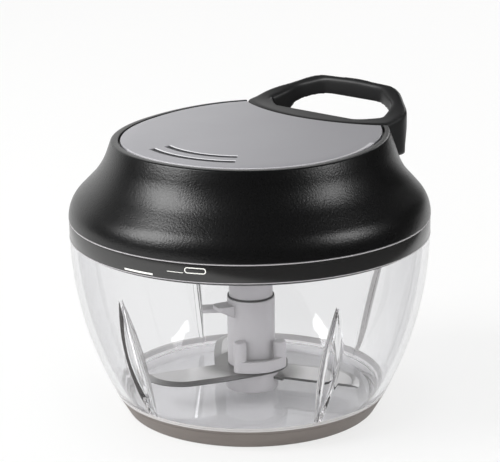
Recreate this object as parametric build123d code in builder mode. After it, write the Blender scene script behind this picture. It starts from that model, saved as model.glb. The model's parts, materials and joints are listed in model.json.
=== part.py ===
from build123d import *
import math
import os

# Pull cord food chopper. Millimetres, +Z up, origin at the centre of the base's
# bottom face, and the handle is pulled off along +X.

# Clearances
running_fit = 0.06
seat_gap = 0.1
body_gap = 0.3
overrun = 2.0

# Base pad
base_height = 6.9
base_top_radius = 53.0
base_bottom_radius = 48.9
base_floor = 2.4
base_edge_fillet = 1.6
pad_wall = 2.2
pad_groove_depth = 0.6
pad_groove_width = 1.6
pad_groove_radii = (20.0, 30.0, 40.0)

# Bowl
bowl_wall = 2.6
bowl_floor = 3.6
bowl_belly = 4.28
bowl_mid_share = 0.482
bowl_shoulder_radius = 69.9
rim_step = 0.2
band_height = 71.4
rim_depth = 6.8
floor_corner = 5.0
boss_radius = 5.4
boss_height = 1.1
foot_corner = 2.0

# Creases in the bowl wall
crease_low_rise = 0.9
crease_high_drop = 13.4
crease_depth = 5.0
crease_mouth = 4.6
crease_wall = 1.7
crease_outset = 3.0
crease_end_share = 0.06
crease_station_shares = (0.0, 0.12, 0.3, 0.5, 0.7, 0.88, 1.0)
crease_angles = (66.0, 177.5, 249.5, 344.5)

# Lock ribs in the bowl's rim and lugs on the lid's skirt
lock_count = 4
lock_inset = 1.3
lug_low_drop = 5.0
lug_height = 1.7
rib_height = 1.6
lug_half_angle = 10.0
rib_first_angle = -12.5
rib_last_angle = -50.0
stop_first_angle = -33.5

# Lid shell
lid_wall = 2.4
lid_corner_rise = 6.0
lid_neck_inset = 13.1
lid_neck_rise = 19.2
lid_top_inset = 17.9
lid_top_rise = 32.4
lid_shoulder_arc = 13.2
lid_neck_arc = 30.0
lid_peak_rise = 35.8
ceiling_rise = 26.2
deck_rise = 18.4
front_radius = 64.4
front_centre = 92.4

# Crowned top surface: height on the axis, slope towards the handle, crown across
top_rise = 32.15
top_slope = 1.95
crown_half_width = 60.0
crown_sag = 1.94
crown_reach = 90.0
crown_block_height = 30.0

# Top plate
plate_margin = 2.5
plate_thickness = 1.8
plate_gap = 0.5
groove_inner_radius = 35.0
groove_outer_radius = 41.3
groove_width = 1.3
groove_depth = 0.5
groove_first_angle = 160.0
groove_last_angle = 215.0

# Pull handle
handle_gap = 0.5
handle_half_width = 36.4
handle_side_end = 53.5
handle_corner_x = 66.4
handle_corner_inset = 14.9
handle_end = 67.4
handle_side_arc = 12.0
handle_corner_arc = 16.0
handle_back = 18.0
handle_bottom_rise = 18.8
handle_level_rise = 33.05
handle_rise_start = 36.5
handle_rise_radius = 52.0
handle_foot_end = 52.6
handle_arch_radius = 16.0
handle_edge_fillet = 1.3
handle_up_share = 0.5
finger_near_radius = 40.0
finger_near_centre = 74.8
finger_side_x = 57.4
finger_side_inset = 11.2
finger_back_x = 40.0
finger_back_inset = 6.0
finger_far_x = 63.4
finger_far_inset = 21.9
finger_end = 63.9
finger_side_arc = 8.0
finger_corner_arc = 9.0
finger_near_arc = 3.0

# Pull cord, its reel and its hardware
cord_diameter = 1.8
cord_rise = 21.65
cord_turn_radius = 19.0
cord_turns_out = 2.5
cord_wrap_angle = 200.0
cord_bend = 4.5
cord_guide_x = 22.8
cord_bore_radius = 1.3
knot_radius = 2.4
knot_length = 2.9
knot_seat = 31.0
plug_thickness = 0.8
eyelet_bore = 1.5
eyelet_radius = 2.6
eyelet_flange_radius = 4.2
eyelet_flange = 0.9
eyelet_mouth = 1.0
reel_bottom_rise = 17.4
reel_top_rise = 25.9
reel_flange = 1.2
reel_flange_radius = 23.2
winding_gap = 0.25
drum_radius = 14.5
reel_hub_radius = 6.4
reel_web_holes = 6
reel_web_hole_radius = 2.4
reel_web_circle = 10.4

# Reel axle
axle_radius = 2.5
axle_head_radius = 4.6
axle_head_height = 2.0
axle_head_seat_rise = 27.4
axle_end_drop = 6.0
axle_slot_width = 1.2
axle_slot_depth = 1.0
clip_radius = 4.0
clip_thickness = 0.6
clip_gap = 0.2
clip_groove_radius = 2.0
clip_opening = 2.6

# Recoil spring and its housing
housing_top_rise = 15.8
housing_roof = 1.2
housing_bottom_rise = 9.1
housing_radius = 30.0
housing_wall = 1.6
housing_hole_radius = 8.0
ear_circle = 36.0
ear_radius = 4.2
ear_angles = (100.0, 180.0, 260.0)
ear_screw_radius = 1.5
ear_screw_head_radius = 2.8
ear_screw_head = 1.6
ear_screw_length = 7.0
ceiling_boss_radius = 4.2
spring_cover_thickness = 1.2
spring_strip = 0.5
spring_height = 4.8
spring_inner_radius = 8.4
spring_pitch = 2.0
spring_half_turns = 18

# Pawls, carrier and ratchet wheel
carrier_top_rise = 7.4
carrier_thickness = 2.6
carrier_radius = 21.5
carrier_relief_radius = 3.4
pawl_count = 2
pawl_circle = 16.5
pawl_lag = 52.0
pawl_eye_radius = 2.6
pawl_pin_radius = 1.2
pawl_thickness = 3.0
pawl_head_radius = 2.0
pawl_head = 0.6
pawl_gap = 0.2
pawl_nose_radius = 10.2
pawl_front_radius = 13.2
pawl_back_radius = 14.8
pawl_belly_radius = 12.5
pawl_back_angle = 20.0
pawl_belly_angle = 24.0
pawl_nose_angle = 1.2
ratchet_teeth = 12
ratchet_tip_radius = 12.0
ratchet_root_radius = 9.6
ratchet_thickness = 3.3
ratchet_bottom_rise = 1.1

# Lid inner cover
cover_bottom_drop = 5.7
cover_plate = 2.4
skirt_bottom_drop = 6.8
skirt_top_rise = 1.8
skirt_wall = 2.2
cover_boss_radius = 10.5
cover_boss_low_drop = 7.3
cover_boss_high_drop = 0.6
cover_rib_count = 8
cover_rib_width = 1.6
cover_rib_height = 2.6
cover_rib_inner = 14.0
cover_rib_outer = 44.0
cover_screw_inset = 20.1
cover_screw_angles = (45.0, 135.0, 225.0, 315.0)
cover_screw_radius = 1.5
cover_screw_head_radius = 3.0
cover_screw_head = 1.4
cover_screw_length = 12.0
cover_rib_turn = 22.5
screw_slot_width = 0.8
screw_slot_depth = 0.7
cover_post_radius = 3.8

# Seal ring
seal_top_drop = 7.0
seal_height = 1.5
seal_width = 3.2
seal_lip = 0.6

# Drive spindle
spindle_radius = 8.6
spindle_top_drop = 7.6
spindle_neck_radius = 5.0
spindle_flat = 4.2
spindle_sleeve_bottom = 42.9
spindle_key_radius = 4.0
spindle_key_bottom = 33.6
spindle_tab_radius = 6.1
spindle_tab_half_angle = 15.0
bush_wall = 2.0
bush_flange_radius = 9.4
bush_flange = 1.1
washer_thickness = 0.5
washer_radius = 8.6

# Blade column
column_radius = 9.4
column_top = 44.5
column_mouth_depth = 2.0
socket_radius = 6.4
socket_bottom = 33.0
socket_rib_radius = 4.4
socket_rib_half_angle = 20.0
socket_rib_angles = (37.0, 217.0)
column_bottom = 17.2
core_radius = 6.4
core_bottom = 8.6
pivot_radius = 2.0
pivot_top = 26.0
pivot_bottom = 3.4
pivot_tip_chamfer = 0.6

# Flange arm with posts
flange_radius = 15.0
flange_wall = 1.8
flange_floor = 1.5
flange_height = 4.6
tall_post_angle = 201.3
tall_post_top = 29.4
short_post_angle = 282.2
short_post_top = 28.0
post_radius = 2.5
post_circle = 12.7
post_fillet = 0.8

# Blades
blade_thickness = 1.0
blade_levels = (16.2, 14.0, 11.8)
blade_angles = (151.2, 40.2, -70.8)
blade_names = ("upper_blade", "middle_blade", "lower_blade")
blade_tip = 44.6
blade_root_radius = 14.4
blade_bulge_x = 30.4
blade_bulge_y = 15.8
blade_edge_x = 16.7
blade_nose_x = 39.8
blade_nose_y = 11.0
blade_back_y = 1.6
blade_bevel = 3.0
blade_edge = 0.3
hub_radius = 9.1
hub_bottom = 7.9
hub_foot_chamfer = 0.8

# Mixing paddle
paddle_angle = 135.0
paddle_low = 38.6
paddle_height = 1.6
paddle_width = 6.4
paddle_reach = 19.2
paddle_rib_reach = 14.6
paddle_rib_drop = 1.6
paddle_rib = 1.8
paddle_tongue = 3.6
paddle_root = 7.9
flap_angle = 158.0
flap_low = 41.0
flap_height = 1.3
flap_width = 7.2
flap_reach = 15.6
flap_corner = 2.0
flap_drop = 3.4

# Sizes that follow the handle's width
handle_corner_y = handle_half_width - handle_corner_inset
finger_side_y = handle_half_width - finger_side_inset
finger_back_y = handle_half_width - finger_back_inset
finger_far_y = handle_half_width - finger_far_inset

# Sizes that follow the bowl's rim
rim_radius = bowl_shoulder_radius + rim_step
rim_height = band_height + rim_depth
bowl_mid_radius = base_top_radius + (bowl_shoulder_radius - base_top_radius) * bowl_mid_share + bowl_belly
bowl_mid_height = base_height + (band_height - base_height) * bowl_mid_share
crease_low = base_height + crease_low_rise
crease_high = band_height - crease_high_drop
lid_neck_radius = rim_radius - lid_neck_inset
lid_top_radius = rim_radius - lid_top_inset
plate_radius = lid_top_radius - plate_margin
plate_recess_radius = plate_radius + plate_gap
cover_screw_circle = rim_radius - cover_screw_inset
lug_low = rim_height - lug_low_drop
lid_edge_height = rim_height + body_gap
lid_corner_height = rim_height + lid_corner_rise
lid_neck_height = rim_height + lid_neck_rise
lid_top_height = rim_height + lid_top_rise
lid_peak = rim_height + lid_peak_rise
ceiling_height = rim_height + ceiling_rise
deck_height = rim_height + deck_rise
top_height = rim_height + top_rise
handle_bottom = rim_height + handle_bottom_rise
handle_level = rim_height + handle_level_rise
cord_height = rim_height + cord_rise
reel_bottom = rim_height + reel_bottom_rise
reel_top = rim_height + reel_top_rise
axle_head_seat = rim_height + axle_head_seat_rise
axle_end = rim_height - axle_end_drop
housing_top = rim_height + housing_top_rise
housing_bottom = rim_height + housing_bottom_rise
carrier_top = rim_height + carrier_top_rise
ratchet_bottom = rim_height + ratchet_bottom_rise
cover_bottom = rim_height - cover_bottom_drop
skirt_bottom = rim_height - skirt_bottom_drop
skirt_top = rim_height + skirt_top_rise
cover_boss_low = rim_height - cover_boss_low_drop
cover_boss_high = rim_height - cover_boss_high_drop
seal_top = rim_height - seal_top_drop
spindle_top = rim_height - spindle_top_drop


def polar(radius, angle):
    """Point at a radius and an angle in degrees, in the XY plane."""
    turn = math.radians(angle)
    return (radius * math.cos(turn), radius * math.sin(turn))


def inset_corner(before, corner, after, inset):
    """Corner of a line that runs beside two given lines, at a distance to their left."""
    first = (Vector(*corner) - Vector(*before)).normalized()
    second = (Vector(*after) - Vector(*corner)).normalized()
    side = Vector(-first.Y, first.X)
    other_side = Vector(-second.Y, second.X)
    shift = (side + other_side) * (inset / (1 + side.dot(other_side)))
    moved = Vector(*corner) + shift
    return (moved.X, moved.Y)


def ring(inner, outer, low, high):
    """Plain ring about the Z axis."""
    with BuildPart() as body:
        with BuildSketch(Plane.XY.offset(low)):
            Circle(outer)
            Circle(inner, mode=Mode.SUBTRACT)
        extrude(amount=high - low)
    return body.part


def sector(inner, outer, first, last, low, high):
    """Sector of a ring between two angles in degrees."""
    with BuildPart() as body:
        with BuildSketch(Plane.XY.offset(low)):
            with BuildLine():
                outer_arc = CenterArc((0, 0), outer, first, last - first)
                inner_arc = CenterArc((0, 0), inner, first, last - first)
                Line(outer_arc @ 0, inner_arc @ 0)
                Line(outer_arc @ 1, inner_arc @ 1)
            make_face()
        extrude(amount=high - low)
    return body.part


def above_crown(drop):
    """Everything above the crowned top surface, lowered by a distance."""
    turn = math.radians(top_slope)
    along = Vector(math.cos(turn), 0, math.sin(turn))
    start = Vector(0, 0, top_height - drop) - along * crown_reach
    with BuildPart() as body:
        with BuildSketch(Plane(origin=start, x_dir=(0, 1, 0), z_dir=along)):
            with BuildLine():
                arc = ThreePointArc((-crown_half_width, -crown_sag), (0, 0), (crown_half_width, -crown_sag))
                Polyline(arc @ 0, (-crown_half_width, crown_block_height),
                         (crown_half_width, crown_block_height), arc @ 1)
            make_face()
        extrude(amount=crown_reach + crown_reach)
    return body.part


def save(piece, name):
    """Label a finished piece and write its file."""
    piece.part.label = name
    export_step(piece.part, f"parts/{name}.step")


os.makedirs("parts", exist_ok=True)

# Bowl wall as one arc in the radial plane
outer_foot = Vector(base_top_radius, base_height)
outer_mid = Vector(bowl_mid_radius, bowl_mid_height)
outer_top = Vector(bowl_shoulder_radius, band_height)
wall_arc = ThreePointArc(outer_foot, outer_mid, outer_top)
wall_centre = wall_arc.arc_center
wall_curve = wall_arc.radius


def wall_point(height, inset):
    """Point on the bowl's wall arc, moved towards the axis side by an inset."""
    curve = wall_curve - inset
    return Vector(wall_centre.X + math.sqrt(curve ** 2 - (height - wall_centre.Y) ** 2), height)


# Base pad
pad_lean = (base_top_radius - base_bottom_radius) / base_height
pad_inner_top = base_top_radius - pad_wall
pad_inner_low = base_bottom_radius + base_floor * pad_lean - pad_wall
with BuildPart() as base_pad:
    with BuildSketch(Plane.XZ) as pad_profile:
        with BuildLine():
            Polyline((0, 0), (base_bottom_radius, 0), (base_top_radius, base_height),
                     (pad_inner_top, base_height), (pad_inner_low, base_floor),
                     (0, base_floor), (0, 0))
        make_face()
        fillet(pad_profile.vertices().sort_by_distance((base_bottom_radius, 0, 0))[0], base_edge_fillet)
    revolve(axis=Axis.Z)
    with BuildSketch():
        for radius in pad_groove_radii:
            Circle(radius + pad_groove_width / 2)
            Circle(radius - pad_groove_width / 2, mode=Mode.SUBTRACT)
    extrude(amount=pad_groove_depth, mode=Mode.SUBTRACT)
save(base_pad, "base_pad")

# Bowl
bowl_bottom = base_floor + seat_gap
bowl_inside = bowl_bottom + bowl_floor
foot_low_radius = pad_inner_low - seat_gap
foot_high_radius = pad_inner_top - seat_gap
rim_inner_radius = bowl_shoulder_radius - bowl_wall
with BuildPart() as bowl:
    with BuildSketch(Plane.XZ) as bowl_profile:
        with BuildLine():
            outer_wall = ThreePointArc(outer_foot + Vector(0, seat_gap), wall_point(bowl_mid_height, 0),
                                       outer_top)
            rim = Polyline(outer_wall @ 1, (rim_radius, band_height + bowl_wall), (rim_radius, rim_height),
                           (rim_inner_radius, rim_height), (rim_inner_radius, band_height))
            inner_wall = ThreePointArc(rim @ 1, wall_point(bowl_mid_height, bowl_wall),
                                       wall_point(bowl_inside, bowl_wall))
            Polyline(inner_wall @ 1, (0, bowl_inside), (0, bowl_bottom), (foot_low_radius, bowl_bottom),
                     (foot_high_radius, base_height + seat_gap), outer_wall @ 0)
        make_face()
        corner = wall_point(bowl_inside, bowl_wall)
        fillet(bowl_profile.vertices().sort_by_distance((corner.X, corner.Y, 0))[0], floor_corner)
        fillet(bowl_profile.vertices().sort_by_distance((foot_low_radius, bowl_bottom, 0))[0], foot_corner)
    revolve(axis=Axis.Z)


def crease_section(share, depth, mouth, outset, foot):
    """Pointed section across the bowl wall at a share of a crease's height."""
    height = crease_low + share * (crease_high - crease_low)
    swell = crease_end_share + (1 - crease_end_share) * math.sin(math.pi * share)
    place = wall_point(height, 0)
    outward = (place - wall_centre).normalized()
    along = Vector(-outward.Y, outward.X)
    section = Plane(origin=(place.X, 0, place.Y), x_dir=(outward.X, 0, outward.Y),
                    z_dir=(along.X, 0, along.Y))
    half = (mouth * swell) / 2
    with BuildSketch(section) as profile:
        with BuildLine():
            Polyline((outset, -half), (outset, half), (-foot, half), (-foot - depth * swell, 0),
                     (-foot, -half), (outset, -half))
        make_face()
    return profile.sketch


# Creases: each has a fold inside the wall and an open mouth outside it
crease_fold = loft([crease_section(share, crease_depth, crease_mouth + crease_wall + crease_wall,
                                   -bowl_wall / 2, bowl_wall + crease_wall / 2)
                    for share in crease_station_shares])
crease_open = loft([crease_section(share, crease_depth, crease_mouth, crease_outset, 0)
                    for share in crease_station_shares])

# Lock ribs inside the bowl's rim, each with a stop for the lid's lug
rib_low = lug_low + lug_height + body_gap
rib_inner_radius = rim_inner_radius - lock_inset
lock_rib = sector(rib_inner_radius, rim_inner_radius + bowl_wall / 2, rib_last_angle, rib_first_angle,
                  rib_low, rib_low + rib_height)
lock_stop = sector(rib_inner_radius, rim_inner_radius + bowl_wall / 2, rib_last_angle, stop_first_angle,
                   lug_low, rib_low)

with bowl:
    for angle in crease_angles:
        add(crease_fold.rotate(Axis.Z, angle))
    for angle in crease_angles:
        add(crease_open.rotate(Axis.Z, angle), mode=Mode.SUBTRACT)
    with PolarLocations(0, lock_count):
        add(lock_rib)
        add(lock_stop)
    with BuildSketch(Plane.XY.offset(bowl_inside)):
        Circle(boss_radius)
    extrude(amount=boss_height)
    with BuildSketch(Plane.XY.offset(pivot_bottom)):
        Circle(pivot_radius)
    extrude(amount=bowl_inside + boss_height - pivot_bottom, mode=Mode.SUBTRACT)

save(bowl, "bowl")

# Steel pin that the blade column turns on, moulded into the bowl's boss
with BuildPart() as blade_pivot_pin:
    with BuildSketch(Plane.XZ):
        with BuildLine():
            Polyline((0, pivot_bottom), (pivot_radius, pivot_bottom),
                     (pivot_radius, pivot_top - pivot_tip_chamfer),
                     (pivot_radius - pivot_tip_chamfer, pivot_top), (0, pivot_top), (0, pivot_bottom))
        make_face()
    revolve(axis=Axis.Z)
save(blade_pivot_pin, "blade_pivot_pin")

# Seal ring under the lid's skirt
skirt_radius = rib_inner_radius - body_gap
seal_radius = rim_inner_radius - body_gap - body_gap
with BuildPart() as lid_seal_ring:
    with BuildSketch(Plane.XZ):
        with BuildLine():
            Polyline((seal_radius - seal_width, seal_top), (seal_radius - seal_lip, seal_top),
                     (seal_radius, seal_top - seal_height / 2),
                     (seal_radius - seal_lip, seal_top - seal_height),
                     (seal_radius - seal_width, seal_top - seal_height), (seal_radius - seal_width, seal_top))
        make_face()
    revolve(axis=Axis.Z)
save(lid_seal_ring, "lid_seal_ring")

# Lid shell: outer dome and the hollow inside it
lid_outline = [(rim_radius, lid_edge_height), (rim_radius, lid_corner_height),
               (lid_neck_radius, lid_neck_height), (lid_top_radius, lid_top_height)]
peak_radius = lid_top_radius - (lid_neck_radius - lid_top_radius) * (lid_peak - lid_top_height) / (
    lid_top_height - lid_neck_height)
hollow_low = (rim_radius - lid_wall, lid_edge_height)
hollow_shoulder = inset_corner(*lid_outline[0:3], lid_wall)
hollow_neck = inset_corner(*lid_outline[1:4], lid_wall)
hollow_top_radius = lid_top_radius - lid_wall
top_block = above_crown(0)
recess_block = above_crown(plate_thickness)

with BuildPart() as lid_hollow:
    with BuildSketch(Plane.XZ):
        with BuildLine():
            side = FilletPolyline(hollow_low, hollow_shoulder, hollow_neck,
                                  (hollow_top_radius, ceiling_height + lid_wall),
                                  radius=(lid_shoulder_arc - lid_wall, lid_neck_arc))
            Polyline(side @ 1, (0, ceiling_height + lid_wall), (0, lid_edge_height), side @ 0)
        make_face()
    revolve(axis=Axis.Z)
    with BuildSketch(Plane.XY.offset(ceiling_height)):
        Circle(rim_radius)
    extrude(amount=lid_wall + lid_wall, mode=Mode.SUBTRACT)
    with BuildSketch(Plane.XY.offset(deck_height - lid_wall)):
        with Locations((front_centre, 0)):
            Circle(front_radius + lid_wall)
    extrude(amount=lid_peak - deck_height, mode=Mode.SUBTRACT)

with BuildPart() as plate_recess:
    with BuildSketch(Plane.XY.offset(ceiling_height)):
        Circle(plate_recess_radius)
    extrude(amount=lid_peak - ceiling_height)
    add(recess_block, mode=Mode.INTERSECT)

front_post_top = deck_height - lid_wall / 2
rear_post_top = ceiling_height
with BuildPart() as lid_shell:
    with BuildSketch(Plane.XZ):
        with BuildLine():
            side = FilletPolyline(*lid_outline[0:3], (peak_radius, lid_peak),
                                  radius=(lid_shoulder_arc, lid_neck_arc))
            Polyline(side @ 1, (0, lid_peak), (0, lid_edge_height), side @ 0)
        make_face()
    revolve(axis=Axis.Z)
    with BuildSketch(Plane.XY.offset(deck_height)):
        with Locations((front_centre, 0)):
            Circle(front_radius)
    extrude(amount=lid_peak, mode=Mode.SUBTRACT)
    add(top_block, mode=Mode.SUBTRACT)
    add(plate_recess.part, mode=Mode.SUBTRACT)
    add(lid_hollow.part, mode=Mode.SUBTRACT)
    # Posts for the cover screws hang from the dome and the deck
    for angle in cover_screw_angles:
        post_top = front_post_top if math.cos(math.radians(angle)) > 0 else rear_post_top
        with BuildSketch(Plane.XY.offset(cover_bottom + cover_plate)):
            with Locations(polar(cover_screw_circle, angle)):
                Circle(cover_post_radius)
        extrude(amount=post_top - cover_bottom - cover_plate)
    # Posts for the spring housing hang from the ceiling
    with BuildSketch(Plane.XY.offset(housing_top)):
        for angle in ear_angles:
            with Locations(polar(ear_circle, angle)):
                Circle(ceiling_boss_radius)
    extrude(amount=ceiling_height - housing_top + lid_wall / 2)
    # Screw holes, axle seat and cord outlet
    with BuildSketch(Plane.XY.offset(cover_bottom + cover_plate)):
        for angle in cover_screw_angles:
            with Locations(polar(cover_screw_circle, angle)):
                Circle(cover_screw_radius)
    extrude(amount=cover_screw_length - cover_screw_head, mode=Mode.SUBTRACT)
    with BuildSketch(Plane.XY.offset(housing_top)):
        for angle in ear_angles:
            with Locations(polar(ear_circle, angle)):
                Circle(ear_screw_radius)
    extrude(amount=ear_screw_length - housing_roof, mode=Mode.SUBTRACT)
    with BuildSketch(Plane.XY.offset(ceiling_height)):
        Circle(axle_radius)
    extrude(amount=lid_peak - ceiling_height, mode=Mode.SUBTRACT)
    with BuildSketch(Plane.XY.offset(axle_head_seat)):
        Circle(axle_head_radius + seat_gap)
    extrude(amount=lid_peak - axle_head_seat, mode=Mode.SUBTRACT)
    with BuildSketch(Plane.YZ):
        with Locations((0, cord_height)):
            Circle(eyelet_radius)
    extrude(amount=front_centre, mode=Mode.SUBTRACT)
save(lid_shell, "lid_shell")

# Two curved grooves in the plate
groove_block = above_crown(groove_depth)
with BuildPart() as groove_cutters:
    with BuildSketch(Plane.XY.offset(ceiling_height)):
        for radius in (groove_inner_radius, groove_outer_radius):
            with BuildLine():
                CenterArc((0, 0), radius, groove_first_angle, groove_last_angle - groove_first_angle)
            trace(line_width=groove_width)
    extrude(amount=lid_peak - ceiling_height)
    add(groove_block, mode=Mode.INTERSECT)

# Top plate, flush with the lid's rim
with BuildPart() as top_plate:
    with BuildSketch(Plane.XY.offset(ceiling_height)):
        Circle(plate_radius)
        with Locations((front_centre, 0)):
            Circle(front_radius + plate_gap, mode=Mode.SUBTRACT)
    extrude(amount=lid_peak - ceiling_height)
    add(recess_block, mode=Mode.INTERSECT)
    add(top_block, mode=Mode.SUBTRACT)
    add(groove_cutters.part, mode=Mode.SUBTRACT)
save(top_plate, "top_plate")

# Pull handle: plan outline and side profile
with BuildPart() as pull_handle:
    with BuildSketch(Plane.XY.offset(handle_bottom)):
        with BuildLine():
            upper = FilletPolyline((handle_back, handle_half_width), (handle_side_end, handle_half_width),
                                   (handle_corner_x, handle_corner_y), (handle_end, 0),
                                   radius=(handle_side_arc, handle_corner_arc))
            mirror(upper, about=Plane.XZ)
            Line((handle_back, handle_half_width), (handle_back, -handle_half_width))
        make_face()
        with Locations((front_centre, 0)):
            Circle(front_radius - handle_gap, mode=Mode.INTERSECT)
    extrude(amount=lid_peak)
    with BuildSketch(Plane.XZ.offset(-handle_half_width)):
        with BuildLine():
            level = Line((handle_back, handle_bottom), (handle_foot_end, handle_bottom))
            arch_centre = (handle_foot_end + handle_arch_radius, handle_bottom)
            arch = CenterArc(arch_centre, handle_arch_radius, 180, -90)
            foot = Line(arch @ 1, (handle_end + overrun, handle_bottom + handle_arch_radius))
            rise_centre = (handle_rise_start, handle_level + handle_rise_radius)
            rise_reach = handle_end + overrun - handle_rise_start
            rise_turn = math.degrees(math.asin(rise_reach / handle_rise_radius))
            rise = CenterArc(rise_centre, handle_rise_radius, -90, rise_turn)
            Line(foot @ 1, rise @ 1)
            Polyline(rise @ 0, (handle_back, handle_level), (handle_back, handle_bottom))
        make_face()
    extrude(amount=handle_half_width + handle_half_width, mode=Mode.INTERSECT)
    with BuildSketch(Plane.XY.offset(handle_bottom)) as finger_hole:
        with BuildLine():
            upper = FilletPolyline((finger_back_x, finger_back_y), (finger_side_x, finger_side_y),
                                   (finger_far_x, finger_far_y), (finger_end, 0),
                                   radius=(finger_side_arc, finger_corner_arc))
            mirror(upper, about=Plane.XZ)
            Line((finger_back_x, finger_back_y), (finger_back_x, -finger_back_y))
        make_face()
        with Locations((finger_near_centre, 0)):
            Circle(finger_near_radius, mode=Mode.INTERSECT)
        fillet(finger_hole.vertices().sort_by(Axis.X)[0:2], finger_near_arc)
    extrude(amount=lid_peak, mode=Mode.SUBTRACT)
    # Soft edges round the grip's top face
    grip_faces = pull_handle.faces().filter_by(lambda face: face.normal_at().Z > handle_up_share)
    grip_edges = grip_faces.edges().filter_by(GeomType.LINE, reverse=True)
    front_edges = grip_faces.edges().filter_by(lambda edge: edge.center().X > handle_rise_start + overrun)
    fillet(list(set(grip_edges + front_edges)), handle_edge_fillet)

# Bush bore shared by the cover and the bush
bush_inner_radius = spindle_neck_radius + running_fit
bush_outer_radius = bush_inner_radius + bush_wall

# Lid inner cover: plate, skirt with lock lugs, boss for the bush and stiffening ribs
with BuildPart() as lid_inner_cover:
    with BuildSketch(Plane.XZ):
        with BuildLine():
            Polyline((bush_outer_radius, cover_boss_low), (cover_boss_radius, cover_boss_low),
                     (cover_boss_radius, cover_bottom), (skirt_radius - skirt_wall, cover_bottom),
                     (skirt_radius - skirt_wall, skirt_bottom), (skirt_radius, skirt_bottom),
                     (skirt_radius, skirt_top), (skirt_radius - skirt_wall, skirt_top),
                     (skirt_radius - skirt_wall, cover_bottom + cover_plate),
                     (cover_boss_radius, cover_bottom + cover_plate), (cover_boss_radius, cover_boss_high),
                     (bush_outer_radius, cover_boss_high), (bush_outer_radius, cover_boss_low))
        make_face()
    revolve(axis=Axis.Z)
    with PolarLocations(0, lock_count):
        add(sector(skirt_radius - skirt_wall / 2, skirt_radius + lock_inset, -lug_half_angle, lug_half_angle,
                   lug_low, lug_low + lug_height))
    with BuildSketch(Plane.XY.offset(cover_bottom + cover_plate)):
        rib_middle = (cover_rib_inner + cover_rib_outer) / 2
        with PolarLocations(rib_middle, cover_rib_count, start_angle=cover_rib_turn):
            Rectangle(cover_rib_outer - cover_rib_inner, cover_rib_width)
    extrude(amount=cover_rib_height)
    for angle in cover_screw_angles:
        spot = polar(cover_screw_circle, angle)
        with BuildSketch(Plane.XY.offset(cover_bottom)):
            with Locations(spot):
                Circle(cover_screw_radius + seat_gap)
        extrude(amount=cover_plate, mode=Mode.SUBTRACT)
        with BuildSketch(Plane.XY.offset(cover_bottom)):
            with Locations(spot):
                Circle(cover_screw_head_radius + seat_gap)
        extrude(amount=cover_screw_head, mode=Mode.SUBTRACT)
save(lid_inner_cover, "lid_inner_cover")


def screws(circle, angles, low, head_radius, head, radius, length, slot_width, slot_depth):
    """Group of screws with their heads down, driven upwards."""
    with BuildPart() as group:
        for angle in angles:
            spot = polar(circle, angle)
            with BuildSketch(Plane.XY.offset(low)):
                with Locations(spot):
                    Circle(head_radius)
            extrude(amount=head)
            with BuildSketch(Plane.XY.offset(low + head)):
                with Locations(spot):
                    Circle(radius)
            extrude(amount=length - head)
            with BuildSketch(Plane.XY.offset(low)):
                with Locations(spot):
                    Rectangle(head_radius, slot_width)
                    Rectangle(slot_width, head_radius)
            extrude(amount=slot_depth, mode=Mode.SUBTRACT)
    return group


cover_screws = screws(cover_screw_circle, cover_screw_angles, cover_bottom, cover_screw_head_radius,
                      cover_screw_head, cover_screw_radius, cover_screw_length, screw_slot_width,
                      screw_slot_depth)
save(cover_screws, "cover_screws")
housing_screws = screws(ear_circle, ear_angles, housing_top - housing_roof - ear_screw_head,
                        ear_screw_head_radius, ear_screw_head, ear_screw_radius,
                        ear_screw_length + ear_screw_head, screw_slot_width, screw_slot_depth)
save(housing_screws, "housing_screws")

# Axle screw for the reel, with its retaining clip
axle_head_top = axle_head_seat + axle_head_height
with BuildPart() as axle_screw:
    with BuildSketch(Plane.XZ):
        with BuildLine():
            Polyline((0, axle_end), (axle_radius, axle_end), (axle_radius, axle_head_seat),
                     (axle_head_radius, axle_head_seat), (axle_head_radius, axle_head_top),
                     (0, axle_head_top), (0, axle_end))
        make_face()
    revolve(axis=Axis.Z)
    with BuildSketch(Plane.XY.offset(axle_head_top)):
        Rectangle(axle_head_radius + axle_head_radius, axle_slot_width)
    extrude(amount=-axle_slot_depth, mode=Mode.SUBTRACT)

# Housing of the recoil spring, hung from the ceiling by three ears
with BuildPart() as spring_housing:
    with BuildSketch(Plane.XY.offset(housing_top - housing_roof)):
        Circle(housing_radius)
        for angle in ear_angles:
            with Locations(polar(ear_circle, angle)):
                Circle(ear_radius)
            with Locations(polar((ear_circle + housing_radius) / 2, angle)):
                Rectangle(ear_circle - housing_radius + ear_radius, ear_radius + ear_radius, rotation=angle)
        Circle(housing_hole_radius, mode=Mode.SUBTRACT)
        for angle in ear_angles:
            with Locations(polar(ear_circle, angle)):
                Circle(ear_screw_radius + seat_gap, mode=Mode.SUBTRACT)
    extrude(amount=housing_roof)
    with BuildSketch(Plane.XY.offset(housing_bottom)):
        Circle(housing_radius)
        Circle(housing_radius - housing_wall, mode=Mode.SUBTRACT)
    extrude(amount=housing_top - housing_roof - housing_bottom)
save(spring_housing, "spring_housing")

# Cover that closes the spring housing from below
with BuildPart() as spring_cover:
    add(ring(housing_hole_radius, housing_radius, housing_bottom - spring_cover_thickness, housing_bottom))
    add(ring(housing_radius - housing_wall - housing_wall, housing_radius - housing_wall - seat_gap,
             housing_bottom, housing_bottom + housing_wall))
save(spring_cover, "spring_cover")

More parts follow.
